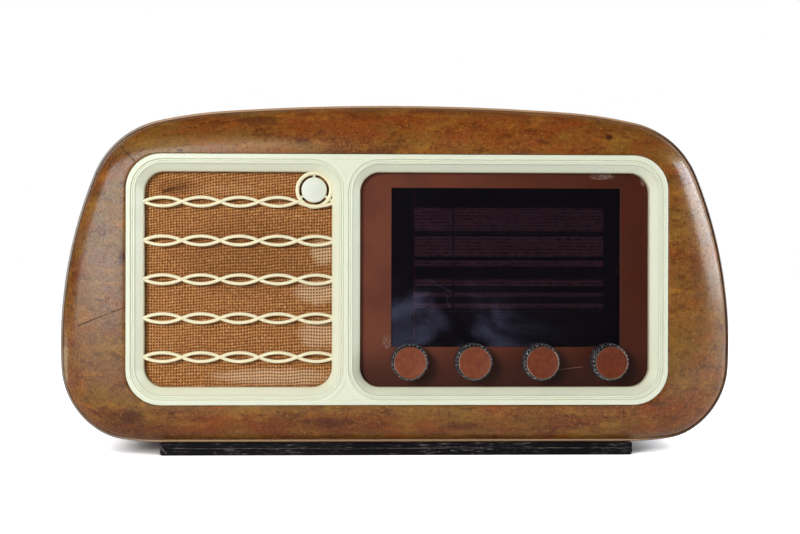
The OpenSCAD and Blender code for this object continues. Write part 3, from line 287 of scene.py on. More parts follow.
room_mirrored = room_calc(
    "MAXIMUM", room_rays.outputs["Is Glossy Ray"], room_rays.outputs["Is Transmission Ray"]
)
room_seen = room_calc("MULTIPLY", room_mirrored, room_behind.outputs["Result"])
room_soft = room_calc("MULTIPLY", room_rays.outputs["Is Diffuse Ray"], 0.12)
room_level = room_calc("MAXIMUM", room_seen, room_soft)
room_level = room_calc("MAXIMUM", room_rays.outputs["Is Camera Ray"], room_level)
room.links.new(room_level, room.nodes["Background"].inputs["Strength"])
room.nodes["Background"].inputs["Color"].default_value = (1, 1, 1, 1)

# Cabinet wrap
# Bent plywood with a walnut veneer, one band all round, glued under the floor.
# Its front edge is a thin rounded lip that stands a little before the surround.
mm = 0.001
land_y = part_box("escutcheon")[0].y
wrap_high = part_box("cabinet_shell")[1]
# Radius, angle and steps of each arc of one side, from the middle of the top.
outline_arcs = (
    (2150, 4, 14), (365, 9, 10), (78, 55, 34), (388, 25, 26), (68.9, 55, 32), (52, 23, 12), (229, 9, 8),
)
floor_steps = 10


def deep(depth):
    """World Y of a depth in millimetres behind the escutcheon's land."""
    return land_y + depth * mm


def ring_layers(bm):
    """What each vertex of a ring remembers as the ring is pulled through a piece."""
    return (
        bm.verts.layers.float_vector.new("outward"), bm.verts.layers.float_vector.new("start"),
        bm.verts.layers.float.new("along"), bm.verts.layers.float.new("across"),
    )


def ring_order(first):
    """The vertices of a closed ring, one after the other."""
    ring = [first]
    edge = first.link_edges[0]
    while edge.other_vert(ring[-1]) is not first:
        ring.append(edge.other_vert(ring[-1]))
        edge = next(other for other in ring[-1].link_edges if other is not edge)
    return ring


def measured(bm, first):
    """Writes on a ring's vertices how far along it they are and where they started."""
    start = bm.verts.layers.float_vector["start"]
    along = bm.verts.layers.float["along"]
    ring = ring_order(first)
    walked = 0
    for vertex, before in zip(ring, [first] + ring):
        walked += (vertex.co - before.co).length
        vertex[along] = walked
        vertex[start] = vertex.co
    return ring


def outline_ring(bm):
    """The cabinet's outline as a closed ring, spun arc by arc round both sides."""
    outward = bm.verts.layers.float_vector["outward"]
    hub = Vector((0, 0, wrap_high.z - outline_arcs[0][0] * mm))
    lean = 0
    right = []
    for k, (radius, angle, steps) in enumerate(outline_arcs):
        if k:
            out = Vector((math.sin(lean), 0, math.cos(lean)))
            hub = hub + (outline_arcs[k - 1][0] - radius) * mm * out
        right.append((hub, angle, steps))
        lean += math.radians(angle)
    left = [(Vector((-hub.x, 0, hub.z)), angle, steps) for hub, angle, steps in reversed(right)]
    first = bm.verts.new((0, 0, wrap_high.z))
    first[outward] = (0, 0, 1)
    end = first
    for side in (right, left):
        for hub, angle, steps in side:
            known = set(bm.verts)
            made = bmesh.ops.spin(
                bm, geom=[end], cent=hub, axis=(0, 1, 0), angle=math.radians(angle), steps=steps
            )
            end = next(item for item in made["geom_last"] if isinstance(item, bmesh.types.BMVert))
            for vertex in bm.verts:
                if vertex not in known:
                    vertex[outward] = (vertex.co - hub).normalized()
        if side is right:
            reach = end.co.x
            for k in range(1, floor_steps + 1):
                end = bmesh.ops.extrude_vert_indiv(bm, verts=[end])["verts"][0]
                end.co.x = reach * (1 - 2 * k / floor_steps)
                end[outward] = (0, 0, -1)
    bmesh.ops.weld_verts(bm, targetmap={end: first})
    return measured(bm, first)


def pulled(bm, ring, levels, place):
    """Pulls a ring through levels; place(vertex, level) says where a vertex goes then."""
    along = bm.verts.layers.float["along"]
    across = bm.verts.layers.float["across"]
    edges = list(dict.fromkeys(edge for vertex in ring for edge in vertex.link_edges))
    first_edges = edges
    walked = 0
    for k, level in enumerate(levels):
        if k:
            made = bmesh.ops.extrude_edge_only(bm, edges=edges)["geom"]
            fresh = {item for item in made if isinstance(item, bmesh.types.BMVert)}
            made_edges = [item for item in made if isinstance(item, bmesh.types.BMEdge)]
            edges = [edge for edge in made_edges if all(vertex in fresh for vertex in edge.verts)]
        else:
            fresh = set(ring)
        places = {vertex: place(vertex, level) for vertex in fresh}
        for vertex, spot in places.items():
            vertex.co = spot
        if k:
            guide = min(fresh, key=lambda vertex: vertex[along])
            walked += (guide.co - before_of(guide, fresh)).length
        for vertex in fresh:
            vertex[across] = walked
    return first_edges, edges


def before_of(vertex, fresh):
    """Where the vertex of the ring before this one is."""
    for edge in vertex.link_edges:
        other = edge.other_vert(vertex)
        if other not in fresh:
            return other.co
    return vertex.co


def grain_map(bm):
    """A UV map in metres along and across the piece, so that grain follows its bend."""
    along = bm.verts.layers.float["along"]
    across = bm.verts.layers.float["across"]
    uv = bm.loops.layers.uv.new("grain")
    whole = max(vertex[along] for vertex in bm.verts)
    for face in bm.faces:
        far = max(loop.vert[along] for loop in face.loops)
        for loop in face.loops:
            u = loop.vert[along]
            if far - u > whole / 2:
                u += whole
            loop[uv].uv = (u, loop.vert[across])


def finished(bm, name, finishes, body, nodes=(), sharp=32, turn_out=True):
    """Makes a bmesh a piece that rides on a body, in the place of CAD nodes."""
    if turn_out:
        bmesh.ops.recalc_face_normals(bm, faces=bm.faces)
    mesh = bpy.data.meshes.new(name)
    bm.to_mesh(mesh)
    bm.free()
    for finish in finishes:
        mesh.materials.append(finish.material)
    for face in mesh.polygons:
        face.use_smooth = True
    mesh.set_sharp_from_angle(angle=math.radians(sharp))
    piece = link(bpy.data.objects.new(name, mesh))
    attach(piece, body)
    if nodes:
        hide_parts(*nodes)
    return piece


def walnut(name, along, across, fibre=1.0):
    """Old varnished walnut: its fibres, clouds of stain and pores, under a clear coat."""
    wood = Finish(name, Coat_Roughness=0.15, Coat_IOR=1.5, Specular_IOR_Level=0.2)
    length = wood.joined(along(wood), across(wood))
    wander = wood.noise(9, length, detail=2)
    bent = wood.joined(along(wood), wood.calc("MULTIPLY_ADD", wander, 0.012, across(wood)))
    fibres = wood.noise(1, wood.mapped((14, 520 * fibre, 1), bent), detail=6, rough=0.62)
    bands = wood.noise(1, wood.mapped((5, 90, 1), bent), detail=3, rough=0.5, warp=0.3)
    cloud = wood.noise(24, detail=6, rough=0.65, warp=0.4)
    mottle = wood.noise(460, detail=4, rough=0.7)
    pores = wood.cells(1, wood.mapped((170, 900, 1), bent))
    tone = wood.calc("MULTIPLY_ADD", fibres, 0.26, wood.times(bands, 0.16))
    tone = wood.calc("MULTIPLY_ADD", cloud, 0.34, tone)
    tone = wood.calc("ADD", wood.calc("MULTIPLY_ADD", mottle, 0.5, tone), -0.13)
    base = wood.toned(tone, [
        (0.36, shade(64, 32, 13)), (0.44, shade(98, 54, 20)), (0.52, shade(122, 70, 27)),
        (0.59, shade(142, 88, 38)), (0.68, shade(164, 110, 56)),
    ])
    return wood, base, tone, pores


def worn_coat(finish, scale, detail):
    """How much of the clear coat is left between grains that have lost it."""
    return finish.graded(finish.noise(scale, detail=detail, rough=0.7), 0.34, 0.6, 0.35, 1.0)


def lacquered(finish, coat):
    """Lays the clear coat, which follows the bumps under it."""
    finish.give(finish.shader, "Coat Weight", coat)
    bumps = finish.shader.inputs["Normal"].links[0].from_socket
    finish.give(finish.shader, "Coat Normal", bumps)


def grain_axis(index):
    """One direction of the piece's grain map."""
    return lambda finish: finish.axis("XYZ"[index], finish.uv("grain"))


wrap_finish, wrap_base, wrap_tone, wrap_pores = walnut("walnut_veneer", grain_axis(0), grain_axis(1))
wrap_lip = wrap_finish.graded(wrap_finish.axis("Y"), deep(21.2), deep(20.4))
# The lip's own tone is the pale bare edge on top; darker on the right and greyer on the left is painted
# shade, where less light falls.
lip_right_shade = wrap_finish.graded(wrap_finish.axis("X"), 0.19, 0.25)
lip_left_shade = wrap_finish.graded(wrap_finish.axis("X"), -0.19, -0.25)
lip_tone_and_shade = wrap_finish.mixed(lip_right_shade, shade(184, 150, 118), shade(58, 44, 34))
lip_tone_and_shade = wrap_finish.mixed(lip_left_shade, lip_tone_and_shade, shade(132, 122, 112))
wrap_base = wrap_finish.mixed(wrap_finish.times(wrap_lip, 0.85), wrap_base, lip_tone_and_shade)
wrap_pale = wrap_finish.times(wrap_finish.graded(wrap_finish.noise(30, detail=6), 0.62, 0.8), 0.3)
wrap_base = wrap_finish.mixed(wrap_pale, wrap_base, shade(178, 146, 108))
wrap_dark = wrap_finish.graded(wrap_pores, 0.22, 0.08, 0.0, 0.5)
wrap_finish.colour(wrap_finish.mixed(wrap_dark, wrap_base, shade(58, 32, 16)))
wrap_finish.gloss(wrap_finish.graded(wrap_finish.noise(22, detail=5), 0.3, 0.7, 0.28, 0.5))
wrap_finish.relief(wrap_tone, 0.00025, 0.5)
lacquered(wrap_finish, worn_coat(wrap_finish, 800, 3))

wall_wide = 9
rim_depth = 20
rim_wide = 2.1
lip_round = 1.3
lip_depth = rim_depth - 0.6
wrap_depth = 29
rear_depth = (wrap_high.y - land_y) / mm
bm = bmesh.new()
outward, start, along, across = ring_layers(bm)
wrap_ring = outline_ring(bm)
wrap_levels = [
    (wall_wide, wrap_depth), (wall_wide, rear_depth - 0.6), (wall_wide - 0.6, rear_depth),
    (0.8, rear_depth), (0, rear_depth - 0.8),
]
wrap_levels += [(0, depth) for depth in (180, 130, 80, 45, 24, lip_depth + lip_round)]
for k in range(1, 5):
    lean = math.radians(22.5 * k)
    wrap_levels.append((lip_round * (1 - math.cos(lean)), lip_depth + lip_round * (1 - math.sin(lean))))
wrap_levels += [(rim_wide - 0.3, lip_depth), (rim_wide, lip_depth + 0.3), (rim_wide, wrap_depth)]
wrap_first, wrap_last = pulled(bm, wrap_ring, wrap_levels, lambda vertex, level: Vector((
    vertex[start].x - vertex[outward].x * level[0] * mm, deep(level[1]),
    vertex[start].z - vertex[outward].z * level[0] * mm,
)))
bmesh.ops.bridge_loops(bm, edges=wrap_first + wrap_last)
grain_map(bm)
finished(bm, "veneered_wrap", [wrap_finish], "cabinet", ["cabinet_shell"])

# Front surround
# Solid walnut round the escutcheon, glued up from lengths whose joints show.
# It lies flat beside the escutcheon and rolls back to the wrap's lip.
esc_low, esc_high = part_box("escutcheon")
esc_z = (esc_low.z + esc_high.z) / 2
esc_width = esc_high.x - esc_low.x
esc_height = esc_high.z - esc_low.z
esc_corner = 30 * mm
esc_seat = 0.4 * mm


def to_opening(direction):
    """How far the opening's edge is from its middle in a direction."""
    side = abs(direction.x)
    up = abs(direction.z)
    half_w = esc_width / 2 + esc_seat
    half_h = esc_height / 2 + esc_seat
    radius = esc_corner + esc_seat
    flat = half_w / side if side > 0 else 10
    crown = half_h / up if up > 0 else 10
    if flat * up <= half_h - radius:
        return flat
    if crown * side <= half_w - radius:
        return crown
    hub = (half_w - radius, half_h - radius)
    reach = side * hub[0] + up * hub[1]
    return reach + math.sqrt(reach ** 2 - hub[0] ** 2 - hub[1] ** 2 + radius ** 2)


surround, surround_base, surround_tone, surround_pores = walnut(
    "surround_walnut", grain_axis(0), grain_axis(1)
)
# Large regions of the moulding, from tan and olive to orange and dark red. The first two,
# pale greyish tan at the upper left and down the left beside the escutcheon, are in part painted sheen.
for x, z, wide, high, share, tint in (
    (-215, 165, 70, 110, 0.5, shade(128, 106, 84)), (-150, 262, 110, 14, 0.55, shade(158, 124, 84)),
    (240, 150, 60, 120, 0.45, shade(134, 92, 40)), (30, 283, 210, 16, 0.6, shade(128, 62, 18)),
    (150, 262, 150, 22, 0.4, shade(138, 76, 26)), (-60, 28, 190, 12, 0.6, shade(112, 52, 14)),
    (160, 26, 120, 11, 0.5, shade(112, 52, 14)), (-60, 44, 240, 8, 0.4, shade(130, 92, 40)),
    (-262, 120, 16, 60, 0.5, shade(130, 90, 42)), (-240, 82, 34, 40, 0.35, shade(112, 80, 52)),
    (-215, 36, 60, 18, 0.35, shade(96, 60, 30)), (236, 40, 40, 20, 0.4, shade(112, 56, 20)),
):
    patch = surround.times(surround.spot(x, z, wide, high, 0.35, 40), share)
    surround_base = surround.mixed(patch, surround_base, tint)
# Clouds of stain over them: red, golden, olive and dark, then flecks and bare grains.
cloud_place = surround.mapped((0.6, 1, 1.25))
red_clouds = surround.noise(34, cloud_place, detail=7, rough=0.75)
golden_clouds = surround.noise(46, cloud_place, detail=7, rough=0.76, warp=0.4)
olive_clouds = surround.noise(22, cloud_place, detail=7, rough=0.74)
dark_clouds = surround.noise(80, cloud_place, detail=8, rough=0.82, warp=0.3)
flecks = surround.noise(330, detail=5, rough=0.8)
bare_grains = surround.noise(420, detail=4, rough=0.75)
for clouds, low, high, share, tint in (
    (red_clouds, 0.47, 0.64, 0.5, shade(142, 62, 12)),
    (golden_clouds, 0.48, 0.66, 0.55, shade(168, 114, 38)),
    (olive_clouds, 0.45, 0.62, 0.5, shade(116, 88, 32)),
    (dark_clouds, 0.51, 0.61, 0.65, shade(76, 34, 8)),
    (flecks, 0.54, 0.64, 0.6, shade(54, 24, 6)),
    (bare_grains, 0.42, 0.3, 0.5, shade(200, 148, 72)),
):
    surround_base = surround.mixed(surround.graded(clouds, low, high, 0.0, share), surround_base, tint)
# Knots and dark stains, which are only where they are named.
for x, z, wide, high, share in (
    (-118, 287, 24, 6, 0.55), (180.6, 273.4, 4, 3.6, 0.95), (-208, 62, 20, 11, 0.5),
    (-225, 35, 14, 8, 0.6), (-234, 170, 4, 9, 0.6), (-60, 30, 26, 6, 0.5),
    (55, 27, 22, 5, 0.5), (-80, 268, 8, 4, 0.3), (256, 160, 8, 18, 0.3),
    (-10, 262, 14, 5, 0.35), (-185.4, 260.6, 4, 1.6, 0.8), (-66, 276, 6, 4, 0.4),
):
    knot = surround.times(surround.spot(x, z, wide, high, 0.8, 260), share)
    surround_base = surround.mixed(knot, surround_base, shade(58, 26, 14))


def seam(finish, x0, z0, x1, z1, half):
    """A thin line on the front from one place to another, in millimetres."""
    length = math.hypot(x1 - x0, z1 - z0)
    run = ((x1 - x0) / length, (z1 - z0) / length)
    side = finish.calc("MULTIPLY_ADD", finish.axis("X"), -run[1] * 1000, x0 * run[1] - z0 * run[0])
    side = finish.calc("MULTIPLY_ADD", finish.axis("Z"), run[0] * 1000, side)
    ahead = finish.calc("MULTIPLY_ADD", finish.axis("X"), run[0] * 1000, -x0 * run[0] - z0 * run[1])
    ahead = finish.calc("MULTIPLY_ADD", finish.axis("Z"), run[1] * 1000, ahead)
    wavy = finish.calc("MULTIPLY_ADD", finish.noise(300), 0.8, -0.4)
    off = finish.calc("ABSOLUTE", finish.calc("ADD", side, wavy))
    line = finish.graded(off, half, half * 0.3)
    ends = finish.calc("ABSOLUTE", finish.calc("SUBTRACT", ahead, length / 2))
    return finish.times(line, finish.graded(ends, length / 2 + 0.5, length / 2 - 0.5))


open_seams = surround.larger(
    seam(surround, -237, 265, -222.6, 250.8, 0.55), seam(surround, -272, 112, -231, 128, 0.5)
)
seam_broken = surround.graded(surround.noise(130, detail=4), 0.38, 0.6, 0.3, 0.9)
joint_lines = surround.larger(
    seam(surround, -218, 46, -219.8, 19, 0.45), seam(surround, 224.5, 258, 233.5, 267.5, 0.5)
)
chipped = surround.spot(-284.5, 80, 3.5, 26, 1.2, 240)
for share, tint in (
    (surround.graded(surround_pores, 0.2, 0.07, 0.0, 0.55), shade(56, 30, 16)),
    (surround.times(joint_lines, 0.5), shade(88, 58, 34)),
    (surround.times(open_seams, seam_broken), shade(38, 24, 18)),
    (surround.times(chipped, 0.8), shade(160, 138, 106)),
):
    surround_base = surround.mixed(share, surround_base, tint)
surround.colour(surround_base)
surround.gloss(surround.graded(surround.noise(60, detail=6, rough=0.7), 0.3, 0.75, 0.3, 0.5))
surround.relief(surround_tone, 0.0003, 0.55)
surround.relief(surround.times(open_seams, -1.0), 0.0006, 0.8)
surround.relief(surround.noise(700, detail=3, rough=0.6), 0.00008, 0.5)
# The coat is rubbed thin along the bottom and down the outer sides.
coat_low = surround.graded(surround.axis("Z"), 0.03, 0.075, 0.4, 1.0)
coat_side = surround.graded(surround.calc("ABSOLUTE", surround.axis("X")), 0.25, 0.28, 1.0, 0.5)
lacquered(surround, surround.times(worn_coat(surround, 500, 4), surround.times(coat_low, coat_side)))

roll_end = 76
roll_steps = 26
surround_step = 1.5
surround_round = 0.9
bm = bmesh.new()
outward, start, along, across = ring_layers(bm)
opening = bm.verts.layers.float_vector.new("opening")
surround_ring = outline_ring(bm)
for vertex in surround_ring:
    rim = vertex[start] - vertex[outward] * (rim_wide + 0.05) * mm
    ray = rim - Vector((0, 0, esc_z))
    vertex[start] = rim
    vertex[opening] = Vector((0, 0, esc_z)) + ray.normalized() * to_opening(ray.normalized())
surround_levels = [
    (0, 0, 14.9), (0, 0, surround_step + surround_round),
    (0, 0.27, surround_step + 0.25), (0, surround_round, surround_step),
]
for k in range(1, roll_steps + 1):
    lean = math.radians(roll_end * k / roll_steps)
    share = math.sin(lean) / math.sin(math.radians(roll_end))
    drop = (1 - math.cos(lean)) / (1 - math.cos(math.radians(roll_end)))
    depth = surround_step + (rim_depth - surround_step) * drop
    surround_levels.append((share, surround_round * (1 - share), depth))
surround_levels += [(1, 0, 29), (0.75, 0, 18), (0.4, 0, 15), (0.02, 0, 15)]


def surround_place(vertex, level):
    """Part of the way from the opening to the rim, some millimetres on, and back."""
    share, extra, depth = level
    edge = vertex[opening]
    way = vertex[start] - edge
    spot = edge + way * share + way.normalized() * extra * mm
    return Vector((spot.x, deep(depth), spot.z))


surround_first, surround_last = pulled(bm, surround_ring, surround_levels, surround_place)
bmesh.ops.bridge_loops(bm, edges=surround_first + surround_last)
grain_map(bm)
finished(bm, "rolled_surround", [surround], "cabinet", ["front_surround"])

# Runners
# Two hardwood strips under the cabinet, stained black and scuffed to bare wood.
# Their front edges are eased and their lower corners are rounded.
runner_finish = Finish("black_stain", Specular_IOR_Level=0.08)
runner_grain = runner_finish.noise(1, runner_finish.mapped((8, 300, 500)), detail=5)
runner_black = runner_finish.mixed(runner_grain, shade(8, 6, 9), shade(21, 17, 21))
scratches = runner_finish.noise(1, runner_finish.mapped((60, 400, 900)), detail=6, rough=0.8)
scratch_place = runner_finish.noise(28, detail=4)
scratch_and_highlight_share = runner_finish.times(
    runner_finish.graded(scratches, 0.54, 0.66), runner_finish.graded(scratch_place, 0.42, 0.55)
)
# A pale line along the runner's front, a third of the way down, is a painted highlight, broken by the
# scratch pattern.
runner_highlight_line = seam(runner_finish, -196, 6.2, 204, 6.2, 0.4)
runner_highlight_line = runner_finish.times(runner_highlight_line, runner_finish.graded(scratches, 0.4, 0.6, 0.0, 0.5))
runner_crack = runner_finish.times(seam(runner_finish, -203.5, 8.5, -198, 1.5, 0.45), 0.6)
scratch_and_highlight_share = runner_finish.larger(scratch_and_highlight_share, runner_finish.larger(runner_highlight_line, runner_crack))
runner_finish.colour(runner_finish.mixed(scratch_and_highlight_share, runner_black, shade(140, 134, 130)))
runner_finish.gloss(runner_finish.graded(scratch_and_highlight_share, 0, 1, 0.5, 0.75))
runner_finish.relief(scratches, 0.0003, 0.5)


def block(bm, low, high):
    """A box between two corners."""
    place = Matrix.Translation((low + high) / 2) @ Matrix.Diagonal((*(high - low), 1))
    bmesh.ops.create_cube(bm, size=1, matrix=place)


def eased(bm, edges, width, segments):
    """Rounds edges by a width in millimetres."""
    bmesh.ops.bevel(
        bm, geom=edges, offset=width * mm, offset_type="OFFSET", segments=segments, profile=0.5,
        affect="EDGES", material=-1
    )


def runner(name, node):
    """A strip with its two lower corners rounded and then all its edges eased."""
    low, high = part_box(node)
    bm = bmesh.new()
    block(bm, low, high)
    corners = [
        edge for edge in bm.edges
        if all(vertex.co.z < (low.z + high.z) / 2 for vertex in edge.verts)
        and abs(edge.verts[0].co.x - edge.verts[1].co.x) < 1e-6
    ]
    eased(bm, corners, 2.5, 6)
    rims = [edge for edge in bm.edges if len(edge.link_faces) == 2 and edge.calc_face_angle() > 1.0]
    eased(bm, rims, 1.4, 3)
    finished(bm, name, [runner_finish], "cabinet", [node], sharp=12)


runner("stained_front_runner", "front_runner")
runner("stained_rear_runner", "rear_runner")

# Escutcheon
# One moulding in cream plastic: a flat land with rounded edges, two reeded
# and sloping window frames, five interlaced wave bars and the eye's ring.
reed_root = 1.75
cream = Finish("cream_plastic", Coat_Weight=0.25, Coat_Roughness=0.25, Subsurface_Weight=0.06)
cream.give(cream.shader, "Subsurface Radius", (0.004, 0.003, 0.0015))
cream_tone = cream.mixed(cream.noise(14, detail=3), shade(217, 222, 200), shade(226, 229, 209))
cream_low = cream.graded(cream.axis("Y"), deep(1.5), deep(12))
cream_tone = cream.mixed(cream.times(cream_low, 0.45), cream_tone, shade(222, 216, 180))
cream_grime = cream.graded(cream.noise(240, detail=5, rough=0.7), 0.62, 0.8, 0.0, 0.3)
cream_tone = cream.mixed(cream_grime, cream_tone, shade(196, 188, 150))
groove_off = cream.calc("ABSOLUTE", cream.calc("SUBTRACT", cream.axis("Y"), deep(reed_root)))
cream_groove = cream.graded(groove_off, 0.0003, 0.0001)
cream_tone = cream.mixed(cream.times(cream_groove, 0.28), cream_tone, shade(158, 160, 130))
cream.colour(cream_tone)
cream.gloss(cream.graded(cream.noise(90, detail=4), 0.3, 0.7, 0.32, 0.46))
cream.relief(cream.noise(500, detail=3), 0.00004, 0.4)

window_radius = 17
window_high = 184
grille_wide = 160
dial_wide = 249
grille_x = -136.5
dial_x = 92
mullion_x = -44.5
frame_reach = 10
window_mid = esc_z / mm
upright = Matrix.Rotation(math.radians(90), 4, "X")


def rounded_ring(bm, x, z, width, height, radius, facets=14):
    """A rounded rectangle that stands in X and Z, as a ring with its outward directions."""
    outward = bm.verts.layers.float_vector["outward"]
    stand = Matrix.Translation((x * mm, 0, z * mm)) @ upright
    size = Matrix.Diagonal((width * mm, height * mm, 1, 1))
    known = set(bm.verts)
    made = bmesh.ops.create_grid(bm, x_segments=1, y_segments=1, size=0.5, matrix=stand @ size)
    bmesh.ops.bevel(
        bm, geom=made["verts"], offset=radius * mm, offset_type="OFFSET", segments=facets,
        profile=0.5, affect="VERTICES", material=-1
    )
    fresh = [vertex for vertex in bm.verts if vertex not in known]
    faces = {face for vertex in fresh for face in vertex.link_faces}
    bmesh.ops.delete(bm, geom=list(faces), context="FACES_ONLY")
    half_w = (width / 2 - radius) * mm
    half_h = (height / 2 - radius) * mm
    for vertex in fresh:
        side = vertex.co.x - x * mm
        up = vertex.co.z - z * mm
        hub_x = min(max(side, -half_w), half_w)
        hub_z = min(max(up, -half_h), half_h)
        vertex[outward] = Vector((side - hub_x, 0, up - hub_z)).normalized()
    return measured(bm, fresh[0])


def offset_place(vertex, level):
    """Out from the ring by level[0] and back by level[1], in millimetres."""
    start = vertex_layer["start"]
    outward = vertex_layer["outward"]
    spot = vertex[start] + vertex[outward] * level[0] * mm
    return Vector((spot.x, deep(level[1]), spot.z))


def rolled_edge(side, back, front, radius, facets=5):
    """Levels of a wall that rolls over into a flat face; side is 1 into a hole's rim."""
    levels = [(0, back), (0, front + radius)]
    for k in range(1, facets + 1):
        lean = math.radians(90 * k / facets)
        levels.append((side * radius * (1 - math.cos(lean)), front + radius * (1 - math.sin(lean))))
    levels.append((side * (radius + 0.25), front))
    return levels


def new_piece():
    """An empty bmesh whose vertices remember their ring."""
    bm = bmesh.new()
    vertex_layer["outward"], vertex_layer["start"] = ring_layers(bm)[:2]
    return bm


vertex_layer = {}
bm = new_piece()
# A window's frame: the wall, the slope, two round reeds and the foot behind the land.
slope_start = 0.4
slope_deep = 7.7
slope_steps = 6
reed_half = 0.9
reed_rise = 0.7
frame_section = [(2.6, 13.8), (0.1, 13.8), (0, 13.6), (0, 8.6), (0.12, 8.15), (slope_start, slope_deep)]
frame_section += [(slope_start + k, slope_deep - k) for k in range(1, slope_steps)]
for foot in (6.4, 8.2):
    for k in range(0, 11):
        lean = math.radians(18 * k)
        frame_section.append((foot + reed_half * (1 - math.cos(lean)), 1.7 - reed_rise * math.sin(lean)))
frame_section += [(10.2, reed_root), (10.2, 4.8), (6.9, 4.8)]
for x, wide in ((grille_x, grille_wide), (dial_x, dial_wide)):
    ring = rounded_ring(bm, x, window_mid, wide, window_high, window_radius, 18)
    first_edges, last_edges = pulled(bm, ring, frame_section, offset_place)
    bmesh.ops.bridge_loops(bm, edges=first_edges + last_edges)



class Plate:
    """A flat plate: walls that roll into its front, then its front and back filled."""

    def __init__(self, bm):
        self.bm = bm
        self.fronts = []
        self.backs = []

    def wall(self, ring, levels):
        first_edges, last_edges = pulled(self.bm, ring, levels, offset_place)
        self.backs += first_edges
        self.fronts += last_edges

    def fill(self):
        bmesh.ops.triangle_fill(self.bm, edges=self.fronts, use_beauty=True)
        bmesh.ops.triangle_fill(self.bm, edges=self.backs, use_beauty=True)


# The land is a plate: its edge, the two frames and the recesses roll into it.
land = Plate(bm)
land_back = 5
land.wall(
    rounded_ring(bm, 0, window_mid, esc_width / mm, esc_height / mm, esc_corner / mm, 22),
    rolled_edge(-1, land_back, 0, 1.0)
)
for x, wide in ((grille_x, grille_wide), (dial_x, dial_wide)):
    ring = rounded_ring(
        bm, x, window_mid, wide + 2 * frame_reach, window_high + 2 * frame_reach,
        window_radius + frame_reach, 18
    )
    land.wall(ring, rolled_edge(1, land_back, 0, 0.6))

recess_depth = 0.7
band_radius = 31
recess_top = window_high / 2 + frame_reach


def recess_ring(bm, side, grow):
    """A three-cornered recess over or under the mullion, spun from both windows' corners."""
    outward = bm.verts.layers.float_vector["outward"]
    hub_rise = window_high / 2 - window_radius
    hub_z = window_mid + side * hub_rise
    hub_left = Vector((grille_x + grille_wide / 2 - window_radius, 0, hub_z))
    hub_right = Vector((dial_x - dial_wide / 2 + window_radius, 0, hub_z))
    radius = band_radius - grow
    rise = recess_top + grow - hub_rise
    edge_turn = math.asin(rise / radius)
    tip_turn = math.acos((hub_right.x - mullion_x) / radius)
    sweep = side * (edge_turn - tip_turn)
    known = set(bm.verts)
    first = bm.verts.new((hub_left + Vector((radius * math.cos(edge_turn), 0, side * rise))) * mm)
    last = first
    for hub in (hub_left, hub_right):
        made = bmesh.ops.spin(bm, geom=[last], cent=hub * mm, axis=(0, 1, 0), angle=sweep, steps=8)
        last = next(item for item in made["geom_last"] if isinstance(item, bmesh.types.BMVert))
    bm.edges.new((last, first))
    middle = Vector((mullion_x * mm, 0, (window_mid + side * (recess_top - 4)) * mm))
    for vertex in bm.verts:
        if vertex not in known:
            vertex[outward] = (vertex.co - middle).normalized()
    return measured(bm, first)


for side in (1, -1):
    land.wall(recess_ring(bm, side, 0), rolled_edge(1, land_back, 0, 0.25, 3))
land.fill()
for side in (1, -1):
    ring = recess_ring(bm, side, 0.3)
    first_edges, last_edges = pulled(bm, ring, [(0, 4.5), (0, recess_depth)], offset_place)
    bmesh.ops.edgeloop_fill(bm, edges=first_edges)
    bmesh.ops.edgeloop_fill(bm, edges=last_edges)

bar_front = 7.2
bar_deep = 4
strand_wide = 2.9
lens_high = 10.4
lens_span = 163.6
lens_start = -217.2
lenses = 5
lens_steps = 14
bars = 5
bar_pitch = 33.15
bar_half = 90
eye_x = -71.9
eye_z = window_mid + window_high / 2 - 15.4


def strand(bm, z, phase, start_x, end_x):
    """One wavy strand of a bar: it passes over and under its twin at the crossings."""
    turn = bm.verts.layers.float["along"]
    steps = lenses * lens_steps
    sides = 12
    made = bmesh.ops.create_circle(bm, cap_ends=False, segments=sides, radius=mm)
    ring = made["verts"]
    for k, vertex in enumerate(ring):
        vertex[turn] = 2 * math.pi * k / sides
    shares = [
        k for k in range(-2, steps + 3)
        if start_x <= lens_start + k / steps * lens_span - grille_x <= end_x
    ]

    def strand_place(vertex, k):
        lens, share = divmod(k / lens_steps, 1) if 0 <= k < steps else (0, 0)
        turned = -1 if lens % 2 else 1
        wave = turned * 4 * share * (1 - share)
        slope = turned * (1 - 2 * share) if 0 <= k < steps else 0
        rise = (lens_high - strand_wide) / 2
        lean = math.atan(phase * rise * 4 * slope / (lens_span / lenses))
        x = lens_start + k / steps * lens_span
        over = bar_front + bar_deep / 2 - 0.4 * phase * slope
        out = math.cos(vertex[turn]) * strand_wide / 2
        return Vector((
            (x - out * math.sin(lean)) * mm,
            deep(over + math.sin(vertex[turn]) * (bar_deep / 2 - 0.4)),
            (z + phase * rise * wave + out * math.cos(lean)) * mm,
        ))

    first_edges, last_edges = pulled(bm, ring, shares, strand_place)
    bmesh.ops.edgeloop_fill(bm, edges=first_edges)
    bmesh.ops.edgeloop_fill(bm, edges=last_edges)


def coloured_since(bm, known, index):
    """Gives the faces made since a moment the finish with an index."""
    for face in bm.faces:
        if face not in known:
            face.material_index = index


# The upper strand of the top bar is cut where the eye's ring stands.
known = set(bm.faces)
for row in range(bars):
    z = window_mid + (row - 2) * bar_pitch
    strand(bm, z, -1, -bar_half, bar_half)
    if row < bars - 1:
        strand(bm, z, 1, -bar_half, bar_half)
    else:
        strand(bm, z, 1, -bar_half, 53.2)
        strand(bm, z, 1, 75.9, bar_half)
coloured_since(bm, known, 2)


def spun(bm, x, z, section, facets=96):
    """Turns a closed section, in radius and depth, about an axis through x and z."""
    corners = [bm.verts.new(((x + radius) * mm, deep(depth), z * mm)) for radius, depth in section]
    edges = [bm.edges.new((a, b)) for a, b in zip(corners, corners[1:] + corners[:1])]
    bmesh.ops.spin(
        bm, geom=corners + edges, cent=(x * mm, deep(0), z * mm), axis=(0, 1, 0),
        angle=2 * math.pi, steps=facets, use_merge=True
    )


